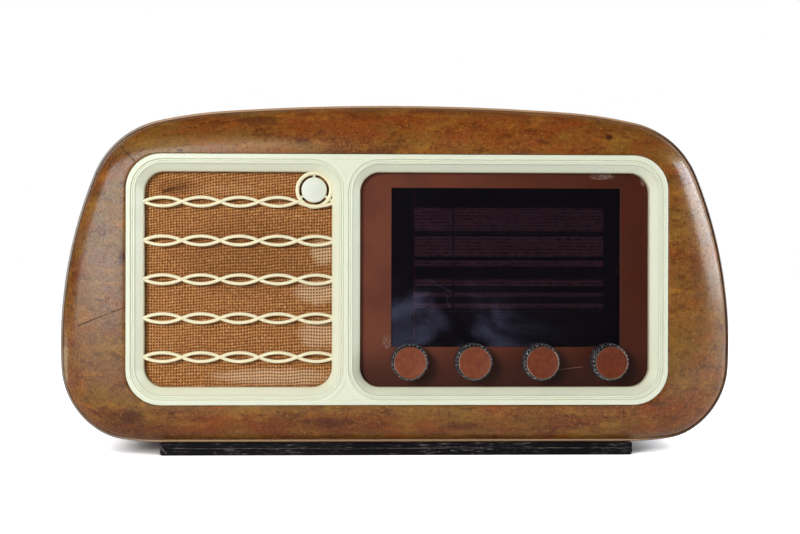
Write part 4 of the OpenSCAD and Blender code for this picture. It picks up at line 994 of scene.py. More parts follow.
# The eye's ring, three webs and the knock-out disc that they hold.
ring_section = [(12.8, 13.2), (12.8, 9.4)]
for k in range(1, 12):
    lean = math.radians(15 * k)
    ring_section.append((14.4 - 1.6 * math.cos(lean), 9.4 - 1.2 * math.sin(lean)))
ring_section += [(16, 9.4), (16, 13.2)]
known = set(bm.faces)
spun(bm, eye_x, eye_z, ring_section)
coloured_since(bm, known, 2)
web_out = 11.9
web_size = Matrix.Diagonal((3.4 * mm, 3.2 * mm, 2.2 * mm, 1))
for turn in (90, 210, 330):
    lean = math.radians(turn)
    middle = Vector((eye_x + web_out * math.cos(lean), 0, eye_z + web_out * math.sin(lean))) * mm
    middle.y = deep(11.2)
    web_place = Matrix.Translation(middle) @ Matrix.Rotation(-lean, 4, "Y")
    made = bmesh.ops.create_cube(bm, size=1, matrix=web_place @ web_size)
    eased(bm, list({edge for vertex in made["verts"] for edge in vertex.link_edges}), 0.5, 3)
known = set(bm.faces)
spun(bm, eye_x, eye_z, [
    (0.01, 12.6), (10.8, 12.6), (10.8, 9.5), (10.65, 9.1), (10.3, 8.85), (9.6, 8.75), (0.01, 8.6),
])
coloured_since(bm, known, 1)
# Four pegs behind the land, glued into the surround.
for side_x in (-1, 1):
    for side_z in (-1, 1):
        spun(
            bm, side_x * (esc_width / mm / 2 - 4.6), window_mid + side_z * window_high / 3,
            [(0.01, 4.5), (3, 4.5), (3, 14.9), (0.01, 14.9)], 24
        )
eye_white = Finish("eye_disc_white", Coat_Weight=0.2, Coat_Roughness=0.3)
eye_tone = eye_white.mixed(eye_white.noise(120, detail=5), shade(212, 216, 202), shade(224, 228, 216))
eye_white.colour(eye_tone)
eye_white.gloss(eye_white.graded(eye_white.noise(300), 0.3, 0.7, 0.35, 0.5))
eye_white.relief(eye_white.noise(900, detail=3), 0.00004, 0.5)
aged = Finish("aged_cream", Coat_Weight=0.2, Coat_Roughness=0.3)
aged_tone = aged.mixed(aged.noise(60, detail=4), shade(232, 222, 184), shade(236, 230, 200))
# The backs of the bars and the eye's ring, towards the cloth, are darker and browner: painted shade.
aged_back_shade = aged.graded(aged.axis("Y"), deep(10.6), deep(12.4))
aged_tone = aged.mixed(aged.times(aged_back_shade, 0.6), aged_tone, shade(188, 164, 112))
aged.colour(aged_tone)
aged.gloss(aged.graded(aged.noise(200, detail=3), 0.3, 0.7, 0.34, 0.5))
aged.relief(aged.noise(700, detail=3), 0.00004, 0.4)
cream_finishes = [cream, eye_white, aged]
finished(bm, "moulded_escutcheon", cream_finishes, "cabinet", ["escutcheon"], sharp=40)

# Grille cloth
# Coarse brown cloth in a plain weave, stretched over the baffle board and
# glued round its edge. Its rows wander, and it is creased, stained and dusty.
cloth_low, cloth_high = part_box("grille_cloth")
cloth_wide = cloth_high.x - cloth_low.x
cloth_tall = cloth_high.z - cloth_low.z
cloth = Finish("woven_cloth", Roughness=0.9, Sheen_Weight=0.03, Specular_IOR_Level=0.1)
weave = cloth.uv("weave")
weave_u = cloth.axis("X", weave)
weave_v = cloth.axis("Y", weave)
swell_u = cloth.calc("MULTIPLY_ADD", cloth.noise(38, detail=2), 0.9, weave_u)
swell_v = cloth.calc("MULTIPLY_ADD", cloth.noise(22, detail=2), 2.4, weave_v)
pull_side = cloth.graded(cloth.axis("X"), -0.22, -0.15, 2.4, 0.0)
pull_up = cloth.graded(cloth.axis("Z"), 0.19, 0.245)
swell_v = cloth.calc("ADD", swell_v, cloth.times(pull_side, pull_up))
row_lean = cloth.graded(cloth.axis("Z"), 0.07, 0.24, 12, 46)
row_rise = cloth.times(cloth.calc("SUBTRACT", cloth.axis("X"), grille_x * mm), row_lean)
swell_v = cloth.calc("SUBTRACT", swell_v, row_rise)
warp_wave = cloth.calc("ABSOLUTE", cloth.calc("SINE", cloth.times(swell_u, math.pi)))
weft_wave = cloth.calc("ABSOLUTE", cloth.calc("SINE", cloth.times(swell_v, math.pi)))
hole = cloth.times(cloth.graded(warp_wave, 0.4, 0.92), cloth.graded(weft_wave, 0.45, 0.92))
over_u = cloth.calc("COSINE", cloth.times(swell_u, math.pi))
over_v = cloth.calc("COSINE", cloth.times(swell_v, math.pi))
over = cloth.times(over_u, over_v)
thread_noise = cloth.noise(420, detail=4, rough=0.7)
thread_tone = cloth.calc("MULTIPLY_ADD", over, 0.02, cloth.times(thread_noise, 0.95))
threads = cloth.toned(thread_tone, [
    (0.25, shade(126, 76, 40)), (0.42, shade(160, 106, 60)),
    (0.55, shade(184, 130, 80)), (0.68, shade(212, 166, 112)),
])
for x, z, wide, high, share, tint in (
    (-188, 231, 26, 8, 0.35, shade(96, 52, 28)), (-130, 172, 74, 44, 0.3, shade(104, 62, 32)),
    (-64, 176, 14, 14, 0.5, shade(226, 196, 160)), (-68, 140, 26, 12, 0.5, shade(226, 196, 160)),
    (-68, 104, 22, 15, 0.5, shade(226, 190, 154)), (-104, 68, 64, 9, 0.5, shade(222, 188, 152)),
    (-150, 228, 40, 6, 0.25, shade(206, 160, 112)), (-200, 110, 16, 40, 0.2, shade(196, 140, 92)),
):
    stain = cloth.times(cloth.spot(x, z, wide, high, 0.5, 90), share)
    threads = cloth.mixed(stain, threads, tint)
# A crease in the cloth at the upper left, drawn as a dark line with a softer tail: painted shade in its
# fold.
crease_shade = seam(cloth, -202.2, 226.1, -191.9, 229.6, 1.8)
crease_soft_shade = cloth.times(seam(cloth, -202.2, 226.1, -180.8, 231.8, 3.2), 0.6)
crease_shade_share = cloth.times(cloth.larger(crease_shade, crease_soft_shade), 0.75)
threads = cloth.mixed(crease_shade_share, threads, shade(66, 34, 18))
cloth.colour(cloth.mixed(hole, threads, shade(52, 26, 10)))
cloth_height = cloth.calc("MULTIPLY_ADD", over, 0.12, cloth.calc("SUBTRACT", 0.5, hole))
cloth.relief(cloth_height, 0.0004, 0.55)
cloth.relief(thread_noise, 0.0002, 0.5)

warp_pitch = 2.4 * mm
weft_pitch = 2.57 * mm
bm = bmesh.new()
uv = bm.loops.layers.uv.new("weave")
cloth_mid = (cloth_low + cloth_high) / 2
stand = Matrix.Translation((cloth_mid.x, cloth_low.y, cloth_mid.z)) @ upright
size = Matrix.Diagonal((cloth_wide, cloth_tall, 1, 1))
bmesh.ops.create_grid(bm, x_segments=68, y_segments=78, size=0.5, matrix=stand @ size)
for vertex in bm.verts:
    side = (vertex.co.x - cloth_mid.x) / cloth_wide
    up = (vertex.co.z - cloth_mid.z) / cloth_tall
    slack = math.cos(math.pi * side) * math.cos(math.pi * up)
    ripple = math.sin(21 * side + 9 * up) + 0.6 * math.sin(17 * up - 6 * side + 1)
    vertex.co.y += (0.55 + 0.18 * ripple * slack) * mm
for face in bm.faces:
    for loop in face.loops:
        loop[uv].uv = (loop.vert.co.x / warp_pitch, loop.vert.co.z / weft_pitch)
cloth_piece = finished(
    bm, "stretched_cloth", [cloth], "cabinet", ["grille_cloth"], turn_out=False
)

# Baffle board
# Birch plywood glued behind the surround. It carries the loudspeaker, the
# cloth, the dial panel and the glass.


def clad(node, finish):
    """Gives a CAD node's own slots a finish."""
    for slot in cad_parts[node].material_slots:
        slot.material = finish.material


def layered(name, light, dark, ply, axis):
    """Wood with its long fibres along X, and glued layers along one axis."""
    board = Finish(name, Roughness=0.6, Specular_IOR_Level=0.3)
    fibres = board.noise(1, board.mapped((18, 260, 380)), detail=5, rough=0.6)
    layers = board.waves(board.axis(axis), ply * mm)
    tone = board.calc("MULTIPLY_ADD", layers, 0.16, fibres)
    board.colour(board.toned(tone, [(0.25, dark), (0.5, light), (0.8, shade(214, 186, 140))]))
    board.relief(fibres, 0.0002, 0.5)
    return board


plywood = layered("birch_plywood", shade(192, 158, 108), shade(146, 108, 66), 2.4, "Y")
clad("baffle_board", plywood)

# Dial panel
# Thin pressed plate, painted red-brown, with an opening over the glass. Its
# paint is dusty near the top corners and scratched; it is lighter on the left,
# which is painted sheen, and darker low down, which is painted shade.
panel_paint = Finish("panel_paint", Specular_IOR_Level=0.2)
# Lighter on the left and darker to the right: painted sheen from the light on the left.
panel_sheen_side = panel_paint.graded(panel_paint.axis("X"), -0.03, 0.2)
panel_tone = panel_paint.mixed(panel_sheen_side, shade(100, 52, 36), shade(70, 28, 13))
panel_speckle = panel_paint.graded(panel_paint.noise(900, detail=4, rough=0.7), 0.6, 0.78, 0.0, 0.5)
panel_tone = panel_paint.mixed(panel_speckle, panel_tone, shade(140, 96, 78))
panel_dim = panel_paint.graded(panel_paint.noise(30, detail=4), 0.4, 0.7, 0.0, 0.35)
panel_tone = panel_paint.mixed(panel_dim, panel_tone, shade(58, 22, 12))
# Darker low down, about the knobs: painted shade.
panel_low_shade_share = panel_paint.graded(panel_paint.axis("Z"), 0.1, 0.066, 0.0, 0.65)
panel_tone = panel_paint.mixed(panel_low_shade_share, panel_tone, shade(36, 11, 5))
panel_scratch = panel_paint.times(seam(panel_paint, 135.5, 73.4, 160, 76.4, 0.3), 0.4)
panel_tone = panel_paint.mixed(panel_scratch, panel_tone, shade(190, 150, 128))
panel_grains = panel_paint.graded(panel_paint.noise(620, detail=3), 0.42, 0.6, 0.15, 0.9)
for x, z, wide, high, share in (
    (177, 241, 13, 3.4, 0.4), (213, 236, 4, 4, 0.35), (118, 112, 40, 2.4, 0.12), (-9, 98, 5, 7, 0.3),
):
    dust = panel_paint.times(panel_paint.spot(x, z, wide, high, 1.1, 420), share)
    dust = panel_paint.times(dust, panel_grains)
    panel_tone = panel_paint.mixed(dust, panel_tone, shade(168, 150, 140))
panel_paint.colour(panel_tone)
panel_paint.gloss(panel_paint.graded(panel_paint.noise(60, detail=5), 0.3, 0.7, 0.38, 0.55))
panel_paint.relief(panel_paint.noise(1400, detail=2), 0.00005, 0.5)

panel_low, panel_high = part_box("dial_panel")
panel_front = (panel_low.y - land_y) / mm
panel_back = (panel_high.y - land_y) / mm
glass_x = 93.5
glass_z = 162
glass_wide = 198
glass_high = 137
shaft_z = 81.5
shaft_places = (9.8, 64.5, 122.1, 180.9)
shaft_hole = 7.2
bm = new_piece()
panel = Plate(bm)
panel_wide = (panel_high.x - panel_low.x) / mm
panel_tall = (panel_high.z - panel_low.z) / mm
panel.wall(
    rounded_ring(bm, dial_x, window_mid, panel_wide, panel_tall, 22, 16),
    rolled_edge(-1, panel_back, panel_front, 0.3, 3)
)
panel.wall(
    rounded_ring(bm, glass_x, glass_z, glass_wide, glass_high, 0.8, 6),
    rolled_edge(1, panel_back, panel_front, 0.45, 4)
)
for x in shaft_places:
    panel.wall(
        rounded_ring(bm, x, shaft_z, shaft_hole, shaft_hole, shaft_hole / 2 - 0.01, 8),
        rolled_edge(1, panel_back, panel_front, 0.3, 3)
    )
panel.fill()
finished(bm, "painted_panel", [panel_paint], "cabinet", ["dial_panel"], sharp=40)

# Dial glass and its print
# Smoked glass laid in the baffle board behind the panel. Faint brown scales
# are printed on its back, and dust and wiping marks dull its front.
glass_near, glass_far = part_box("dial_glass")
glass_finish = Finish("smoked_glass", Transmission_Weight=1.0, IOR=1.5, Roughness=0.04)
haze_place = glass_finish.mapped((9, 1, 16), turn=(0, 0.6, 0))
haze = glass_finish.noise(1, haze_place, detail=6, rough=0.62, warp=0.8)
haze_left = glass_finish.graded(glass_finish.axis("X"), 0.2, 0.0)
haze_low = glass_finish.graded(glass_finish.axis("Z"), 0.165, 0.12, 0.08, 1.0)
haze_share = glass_finish.times(glass_finish.graded(haze, 0.35, 0.65), haze_left)
haze_share = glass_finish.times(haze_share, haze_low)
wiped = glass_finish.larger(
    seam(glass_finish, 26, 152, 46, 141, 0.35), seam(glass_finish, 42, 140, 44, 126, 0.3)
)
haze_share = glass_finish.larger(haze_share, glass_finish.times(wiped, 0.8))
specks = glass_finish.graded(glass_finish.cells(420), 0.06, 0.02, 0.0, 0.6)
speckled = glass_finish.graded(glass_finish.noise(26, detail=3), 0.45, 0.7)
dirt = glass_finish.larger(haze_share, glass_finish.times(specks, speckled))
glass_finish.colour(glass_finish.mixed(dirt, shade(116, 106, 128), shade(148, 154, 194)))
glass_clear = glass_finish.graded(dirt, 0, 1, 0.984, 0.84)
glass_finish.give(glass_finish.shader, "Transmission Weight", glass_clear)
glass_finish.gloss(glass_finish.graded(dirt, 0, 1, 0.02, 0.15))
bm = bmesh.new()
block(bm, glass_near, glass_far)
eased(bm, list(bm.edges), 0.4, 2)
finished(bm, "smoked_dial_glass", [glass_finish], "cabinet", ["dial_glass"], sharp=20)

print_ink = Finish("scale_print", Roughness=0.7, Specular_IOR_Level=0.2)
ink_worn = print_ink.graded(print_ink.noise(160, detail=5, rough=0.7), 0.35, 0.7)
print_ink.colour(print_ink.mixed(ink_worn, shade(110, 66, 48), shade(196, 130, 92)))
print_y = glass_far.y + 0.03 * mm


def printed(name, bm, ink):
    """Makes a bmesh of flat print a piece that rides with the glass."""
    mesh = bpy.data.meshes.new(name)
    bm.to_mesh(mesh)
    bm.free()
    mesh.materials.append(ink.material)
    piece = link(bpy.data.objects.new(name, mesh))
    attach(piece, "cabinet")


def printed_bar(bm, x, z, wide, high, behind=0):
    """A thin printed rectangle on the back of the glass, in millimetres."""
    place = Matrix.Translation((x * mm, print_y + behind * mm, z * mm)) @ upright
    size = Matrix.Diagonal((wide * mm, high * mm, 1, 1))
    bmesh.ops.create_grid(bm, x_segments=1, y_segments=1, size=0.5, matrix=place @ size)


# Faded brown fields with rows of small marks, parted by a bare upright line.
wash = Finish("scale_fields", Roughness=0.8, Specular_IOR_Level=0.1)
wash_rows = wash.waves(wash.axis("Z"), 2.9 * mm)
wash_marks = wash.noise(1, wash.mapped((300, 1, 420)), detail=3, rough=0.7)
wash_dark = wash.times(wash.graded(wash_rows, 0.0, 0.7), wash.graded(wash_marks, 0.46, 0.56))
wash_clean = wash.mixed(wash.noise(40, detail=4), shade(196, 138, 122), shade(214, 158, 118))
wash.colour(wash.mixed(wash_dark, wash_clean, shade(84, 60, 66)))
bm = bmesh.new()
for z, high in ((203.6, 20), (180.2, 18), (165.5, 5), (149, 6), (138.5, 4), (129, 4)):
    for x, wide in ((31, 33), (113.6, 130)):
        printed_bar(bm, x, z, wide, high, 0.03)
printed("scale_fields", bm, wash)

scale_rows = 7
scale_top = 205
scale_pitch = 13.5
scale_left = 28
scale_right = 176


def scale_place(share):
    """X of a mark; the marks spread towards the right, as on a real scale."""
    return scale_left + (scale_right - scale_left) * (0.82 * share + 0.18 * share * share)


bm = bmesh.new()
for row in range(scale_rows):
    z = scale_top - row * scale_pitch
    printed_bar(bm, (scale_left + scale_right) / 2, z, scale_right - scale_left, 0.5)
    ticks = 30 + 4 * (row % 3)
    for k in range(ticks + 1):
        rise, tall = (1.6, 2.6) if k % 5 else (2.2, 3.8)
        printed_bar(bm, scale_place(k / ticks), z + rise, 0.45, tall)
printed("scale_lines", bm, print_ink)
bm = bmesh.new()
for row in range(scale_rows):
    for k in range(7):
        words = bpy.data.curves.new("scale_number", "FONT")
        words.body = str(2 + row * 3 + k * (row + 2))
        words.size = 4.4 * mm
        words.align_x = "CENTER"
        number = link(bpy.data.objects.new("scale_number", words))
        z = scale_top - row * scale_pitch - 5.0
        place = Matrix.Translation((scale_place(k / 6) * mm, print_y, z * mm))
        bpy.context.view_layer.update()
        seen = number.evaluated_get(bpy.context.evaluated_depsgraph_get())
        flat = bpy.data.meshes.new_from_object(seen)
        flat.transform(place @ upright)
        bpy.data.objects.remove(number)
        bm.from_mesh(flat)
        bpy.data.meshes.remove(flat)
printed("scale_numbers", bm, print_ink)

# Scale plate
# Folded steel plate behind the glass, painted matt black. Spacer tubes and
# screws hold it off the baffle board, and two lamps light its edges.


def painted(name, light, dark, rough=0.6):
    """Sprayed paint on metal, with a fine orange skin and rubbed patches."""
    paint = Finish(name, Specular_IOR_Level=0.35)
    paint.colour(paint.mixed(paint.graded(paint.noise(60, detail=5), 0.35, 0.7), dark, light))
    paint.gloss(paint.graded(paint.noise(120, detail=4), 0.3, 0.7, rough - 0.1, rough + 0.1))
    paint.relief(paint.noise(1500, detail=2), 0.00004, 0.5)
    return paint


def metal(name, light, dark, rough, lines=0.0):
    """Bare or plated metal: cloudy tarnish, fine drawing lines and specks."""
    bare = Finish(name, Metallic=1.0)
    tarnish = bare.noise(45, detail=6, rough=0.65)
    base = bare.mixed(bare.graded(tarnish, 0.35, 0.7), light, dark)
    specks = bare.graded(bare.noise(800, detail=4, rough=0.75), 0.64, 0.8, 0.0, 0.5)
    bare.colour(bare.mixed(specks, base, dark))
    bare.gloss(bare.graded(tarnish, 0.3, 0.75, rough, rough + 0.2))
    drawn = bare.noise(1, bare.mapped((30, 1600, 1600)), detail=3)
    bare.relief(drawn, 0.00004, 0.2 + lines)
    return bare


scale_black = painted("scale_black", shade(58, 50, 46), shade(34, 29, 28), 0.75)
clad("scale_plate", scale_black)
plated_steel = metal("plated_steel", shade(196, 190, 172), shade(138, 130, 112), 0.3)
clad("scale_spacers", plated_steel)
brass = metal("brass_parts", shade(204, 168, 92), shade(140, 104, 52), 0.28)
clad("lamp_holders", brass)
lamp_glass = Finish("lamp_glass", Transmission_Weight=0.85, IOR=1.45, Coat_Weight=0.3)
lamp_glass.colour(lamp_glass.mixed(lamp_glass.noise(200), shade(244, 236, 206), shade(228, 214, 176)))
lamp_glass.gloss(lamp_glass.graded(lamp_glass.noise(400), 0.3, 0.7, 0.06, 0.2))
lamp_glass.relief(lamp_glass.noise(300), 0.0001, 0.3)
clad("dial_lamps", lamp_glass)

# Pointer and its rail
# A red needle on a carriage that slides along a bright steel rod. The cord
# pulls it past the scale.
pointer_paint = painted("pointer_paint", shade(176, 34, 24), shade(128, 22, 16), 0.45)
clad("dial_pointer", pointer_paint)
bright_steel = metal("bright_steel", shade(206, 206, 204), shade(158, 156, 150), 0.16)
clad("pointer_rail", bright_steel)

# Tuning drive
# A waxed cord runs from the tuning spindle round a large drum and over two
# brass pulleys. It is one taut loop, twisted from thin strands.
clad("left_pulley", brass)
clad("right_pulley", brass)
drum_plastic = Finish("drum_plastic", Coat_Weight=0.1, Coat_Roughness=0.4)
drum_tone = drum_plastic.noise(40, detail=6, rough=0.6, warp=1.5)
drum_plastic.colour(drum_plastic.toned(drum_tone, [
    (0.3, shade(150, 118, 78)), (0.55, shade(186, 152, 104)), (0.75, shade(204, 176, 130)),
]))
drum_plastic.gloss(drum_plastic.graded(drum_tone, 0.3, 0.7, 0.4, 0.6))
drum_plastic.relief(drum_plastic.noise(700, detail=3), 0.00006, 0.5)
clad("drive_drum", drum_plastic)

cord_finish = Finish("waxed_cord", Roughness=0.75, Sheen_Weight=0.2)
cord_lay = cord_finish.uv("lay")
cord_turn = cord_finish.calc("ADD", cord_finish.axis("X", cord_lay), cord_finish.axis("Y", cord_lay))
cord_ply = cord_finish.calc("SINE", cord_finish.times(cord_turn, 3 * math.pi))
cord_ply = cord_finish.calc("ABSOLUTE", cord_ply)
cord_tone = cord_finish.calc("MULTIPLY_ADD", cord_finish.noise(600), 0.4, cord_finish.times(cord_ply, 0.6))
cord_finish.colour(cord_finish.toned(cord_tone, [
    (0.15, shade(150, 132, 98)), (0.5, shade(206, 192, 158)), (0.8, shade(226, 216, 188)),
]))
cord_finish.relief(cord_ply, 0.00015, 0.8)



def centre(node):
    """The middle of a CAD node's box, in millimetres."""
    low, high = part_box(node)
    return (low + high) / 2 / mm


drum = centre("drive_drum")
left = centre("left_pulley")
right = centre("right_pulley")
cord_half = 0.5
cord_sides = 10
cord_depth = drum.y - land_y / mm
# X, Z, radius, spare turns, and how far the cord is before its plane, in and out.
cord_wheels = (
    (left.x, left.z, 5, 0, -0.6, -0.6), (right.x, left.z, 5, 0, -0.6, -0.6),
    (shaft_places[3], shaft_z, 4, 1, -0.6, 0.6), (drum.x, drum.z, 50, 1, 0.6, -0.6),
)


def cord_heading(k):
    """Direction of the straight run from one wheel to the next, along both tangents."""
    x0, z0, r0 = cord_wheels[k][:3]
    x1, z1, r1 = cord_wheels[(k + 1) % 4][:3]
    return math.atan2(z1 - z0, x1 - x0) - math.asin((r0 - r1) / math.hypot(x1 - x0, z1 - z0))


cord_path = []
for k, (x, z, radius, spare, lead_in, lead_out) in enumerate(cord_wheels):
    begin = cord_heading((k + 3) % 4) + math.pi / 2
    sweep = (begin - cord_heading(k) - math.pi / 2) % (2 * math.pi) + 2 * math.pi * spare
    rings = max(8, int(sweep * radius * 0.6) + int(sweep * 6))
    for step in range(rings + 1):
        share = step / rings
        lean = begin - sweep * share
        depth = cord_depth + lead_in + (lead_out - lead_in) * share
        cord_path.append((x + radius * math.cos(lean), depth, z + radius * math.sin(lean), lean))
bm = bmesh.new()
outward, start, around, travelled = ring_layers(bm)
made = bmesh.ops.create_circle(bm, cap_ends=False, segments=cord_sides, radius=cord_half * mm)
for k, vertex in enumerate(made["verts"]):
    vertex[around] = 2 * math.pi * k / cord_sides


def cord_place(vertex, point):
    """A place on the cord's skin, round a point of its path."""
    x, depth, z, lean = point
    out = cord_half * math.cos(vertex[around])
    return Vector((
        (x + out * math.cos(lean)) * mm, deep(depth + cord_half * math.sin(vertex[around])),
        (z + out * math.sin(lean)) * mm,
    ))


cord_first, cord_last = pulled(bm, made["verts"], cord_path, cord_place)
bmesh.ops.bridge_loops(bm, edges=cord_first + cord_last)
uv = bm.loops.layers.uv.new("lay")
for face in bm.faces:
    for loop in face.loops:
        loop[uv].uv = (loop.vert[around] / math.pi, loop.vert[travelled] * 600)
finished(bm, "twisted_cord", [cord_finish], "cabinet", ["drive_cord"], sharp=80)

# Knobs, faces and shafts
# Dark moulded knobs with slanting flutes. A red-brown disc with a pale bright
# rim is pressed on each, and steel shafts carry them through the panel.
knob_black = Finish("knob_plastic", Coat_Weight=0.25, Coat_Roughness=0.12, Specular_IOR_Level=0.4)
knob_tone = knob_black.mixed(knob_black.noise(300, detail=4), shade(13, 9, 9), shade(24, 17, 16))
# Pale grey on the front corners of the flute ridges, broken up by noise: painted glints, with some rubbed
# wear.
ridge_wear_and_glint = knob_black.graded(knob_black.axis("X", knob_black.uv("flute")), 0.6, 0.9)
ridge_deep = knob_black.axis("Y", knob_black.uv("flute"))
ridge_glint_broken = knob_black.graded(knob_black.noise(420, detail=4), 0.42, 0.6, 0.1, 0.95)
for share in (
    knob_black.graded(ridge_deep, 0.62, 0.2, 0.25, 1.0),
    knob_black.graded(ridge_deep, 0.02, 0.06), ridge_glint_broken,
):
    ridge_wear_and_glint = knob_black.times(ridge_wear_and_glint, share)
knob_black.colour(knob_black.mixed(ridge_wear_and_glint, knob_tone, shade(176, 176, 182)))
knob_black.gloss(knob_black.graded(knob_black.noise(500, detail=4), 0.3, 0.75, 0.18, 0.42))
knob_black.relief(knob_black.noise(900, detail=3), 0.00004, 0.4)
face_brown = Finish("knob_face_brown", Specular_IOR_Level=0.25)
face_tone = face_brown.graded(face_brown.noise(240, detail=5, rough=0.75), 0.3, 0.7)
# The faces are lighter on the left and darker and more saturated to the right: painted sheen from the
# light on the left.
face_lit_left = face_brown.mixed(face_tone, shade(106, 50, 28), shade(126, 66, 40))
face_shaded_right = face_brown.mixed(face_tone, shade(84, 32, 8), shade(106, 44, 16))
face_sheen_side = face_brown.graded(face_brown.axis("X"), -0.01, 0.2)
face_brown.colour(face_brown.mixed(face_sheen_side, face_lit_left, face_shaded_right))
face_brown.gloss(face_brown.graded(face_brown.noise(500, detail=3), 0.3, 0.7, 0.42, 0.58))
face_brown.relief(face_brown.noise(1200, detail=3), 0.00005, 0.5)
face_rim = metal("knob_rim", shade(176, 146, 130), shade(116, 86, 72), 0.4)
flutes = 26
flute_points = 8
flute_cut = 1.15
flute_slant = 0.045
knob_front = -3.6
knob_deep = 16.4
# Depth, radius and share of the flutes' cut, from the front to the hollow back.
knob_levels = (
    (-3.55, 3.2, 0), (knob_front, 12.9, 0), (-3.4, 13.9, 0.2), (-3.05, 14.5, 0.7), (-2.4, 15.0, 1.0),
    (-1.5, 15.3, 1.0), (0, 15.5, 1.0), (2, 15.65, 1.0), (4, 15.8, 1.0), (6, 15.9, 1.0),
    (8, 16, 1.0), (10, 16, 1.0), (11.6, 16, 1.0), (12.4, 15.85, 0.7), (12.8, 15.5, 0.2),
    (12.8, 3.2, 0), (8, 3.1, 0),
)


def knob(name, x, body):
    """A fluted knob on its shaft, with the face disc that is pressed on it."""
    bm = bmesh.new()
    outward, start, turn, across = ring_layers(bm)
    count = flutes * flute_points
    made = bmesh.ops.create_circle(bm, cap_ends=False, segments=count, radius=mm)
    for k, vertex in enumerate(made["verts"]):
        vertex[turn] = 2 * math.pi * k / count

    def knob_place(vertex, level):
        depth, radius, cut = level
        back = depth - knob_front
        dip = (0.5 - 0.5 * math.cos(flutes * (vertex[turn] + flute_slant * back))) ** 1.6
        out = radius - flute_cut * cut * dip
        vertex[start] = ((1 - dip) * min(1, cut * 2), back / knob_deep, 0)
        return Vector((
            (x + out * math.cos(vertex[turn])) * mm, deep(depth),
            (shaft_z + out * math.sin(vertex[turn])) * mm,
        ))

    first_edges, last_edges = pulled(bm, made["verts"], knob_levels, knob_place)
    uv = bm.loops.layers.uv.new("flute")
    for face in bm.faces:
        for loop in face.loops:
            loop[uv].uv = loop.vert[start].xy
    finished(bm, name + "_fluted_knob", [knob_black], body, [name + "_knob"], sharp=50)
    bm = bmesh.new()
    spun(bm, x, shaft_z, [
        (0.01, -3.6), (13.5, -3.6), (13.7, -3.9), (13.7, -4.8), (13.6, -5.08), (13.4, -5.2),
        (13.25, -5.12), (13.15, -4.95), (12.95, -4.85), (0.01, -4.85),
    ], 72)
    for face in bm.faces:
        middle = face.calc_center_median() / mm
        if math.hypot(middle.x - x, middle.z - shaft_z) > 13.2:
            face.material_index = 1
    face_finishes = [face_brown, face_rim]
    finished(bm, name + "_face_disc", face_finishes, body, [name + "_face"], sharp=50)


for name, x in zip(("volume", "tone", "band", "tuning"), shaft_places):
    knob(name, x, name + "_control")
    clad(name + "_shaft", bright_steel)

# Tuning capacitor
# Aluminium vanes on the shaft turn out of the fixed plates, inside a plated
# steel frame bolted to the deck.
vane_metal = metal("vane_aluminium", shade(206, 208, 208), shade(160, 162, 164), 0.3)
clad("capacitor_rotor", vane_metal)
clad("capacitor_stator", vane_metal)
clad("capacitor_frame", plated_steel)

# Chassis, bearers and bolts
# Folded and plated steel sheet, dull with age, that stands on two softwood
# bearers and is bolted through the cabinet's floor.
clad("chassis", metal("chassis_plate", shade(168, 166, 152), shade(112, 108, 94), 0.36))
plain_wood = layered("plain_softwood", shade(190, 152, 102), shade(150, 108, 66), 3.5, "Z")
clad("chassis_bearers", plain_wood)
clad("chassis_bolts", plated_steel)
clad("control_nuts", plated_steel)

# Mains transformer
# A stack of iron laminations with a paper-wrapped winding on its middle leg.
core_iron = Finish("core_iron", Metallic=0.6, Specular_IOR_Level=0.4)
core_sheets = core_iron.waves(core_iron.axis("Y"), 0.9 * mm)
core_tone = core_iron.calc("MULTIPLY_ADD", core_sheets, 0.2, core_iron.noise(50, detail=5))
core_iron.colour(core_iron.toned(core_tone, [
    (0.2, shade(44, 40, 38)), (0.5, shade(74, 68, 64)),
    (0.68, shade(104, 84, 66)), (0.8, shade(120, 78, 50)),
]))
core_iron.gloss(core_iron.graded(core_tone, 0.2, 0.8, 0.45, 0.7))
core_iron.relief(core_sheets, 0.0001, 0.7)
clad("power_transformer_core", core_iron)
winding_paper = Finish("winding_paper", Roughness=0.6)
paper_wraps = winding_paper.waves(winding_paper.axis("Z"), 1.1 * mm)
paper_tone = winding_paper.calc("MULTIPLY_ADD", paper_wraps, 0.12, winding_paper.noise(40, detail=6))
winding_paper.colour(winding_paper.toned(paper_tone, [
    (0.25, shade(122, 84, 40)), (0.5, shade(176, 132, 70)), (0.75, shade(204, 166, 104)),
]))
winding_paper.relief(paper_wraps, 0.0002, 0.6)
clad("power_transformer_coil", winding_paper)
clad("output_transformer", core_iron)

# Valves
# Glass bulbs, grey inside with their metal film, on bakelite bases that plug
# into paxolin sockets on the deck.
valve_glass = Finish("valve_glass", IOR=1.5, Coat_Weight=1.0, Coat_Roughness=0.03)
valve_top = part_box("valve_envelopes")[1].z
film = valve_glass.graded(valve_glass.axis("Z"), valve_top - 22 * mm, valve_top - 12 * mm)
film = valve_glass.calc("ADD", film, valve_glass.calc("MULTIPLY_ADD", valve_glass.noise(120), 0.3, -0.15))
valve_glass.colour(valve_glass.toned(film, [
    (0.1, shade(150, 162, 160)), (0.5, shade(70, 74, 74)), (0.9, shade(40, 42, 44)),
]))
bulb_clear = valve_glass.graded(film, 0.0, 0.7, 0.8, 0.1)
valve_glass.give(valve_glass.shader, "Transmission Weight", bulb_clear)
valve_glass.gloss(valve_glass.graded(valve_glass.noise(200), 0.3, 0.7, 0.04, 0.12))
valve_glass.relief(valve_glass.noise(150), 0.0001, 0.2)
clad("valve_envelopes", valve_glass)
bakelite = Finish("bakelite", Coat_Weight=0.5, Coat_Roughness=0.15)
bakelite_swirl = bakelite.noise(90, detail=6, rough=0.6, warp=2.0)
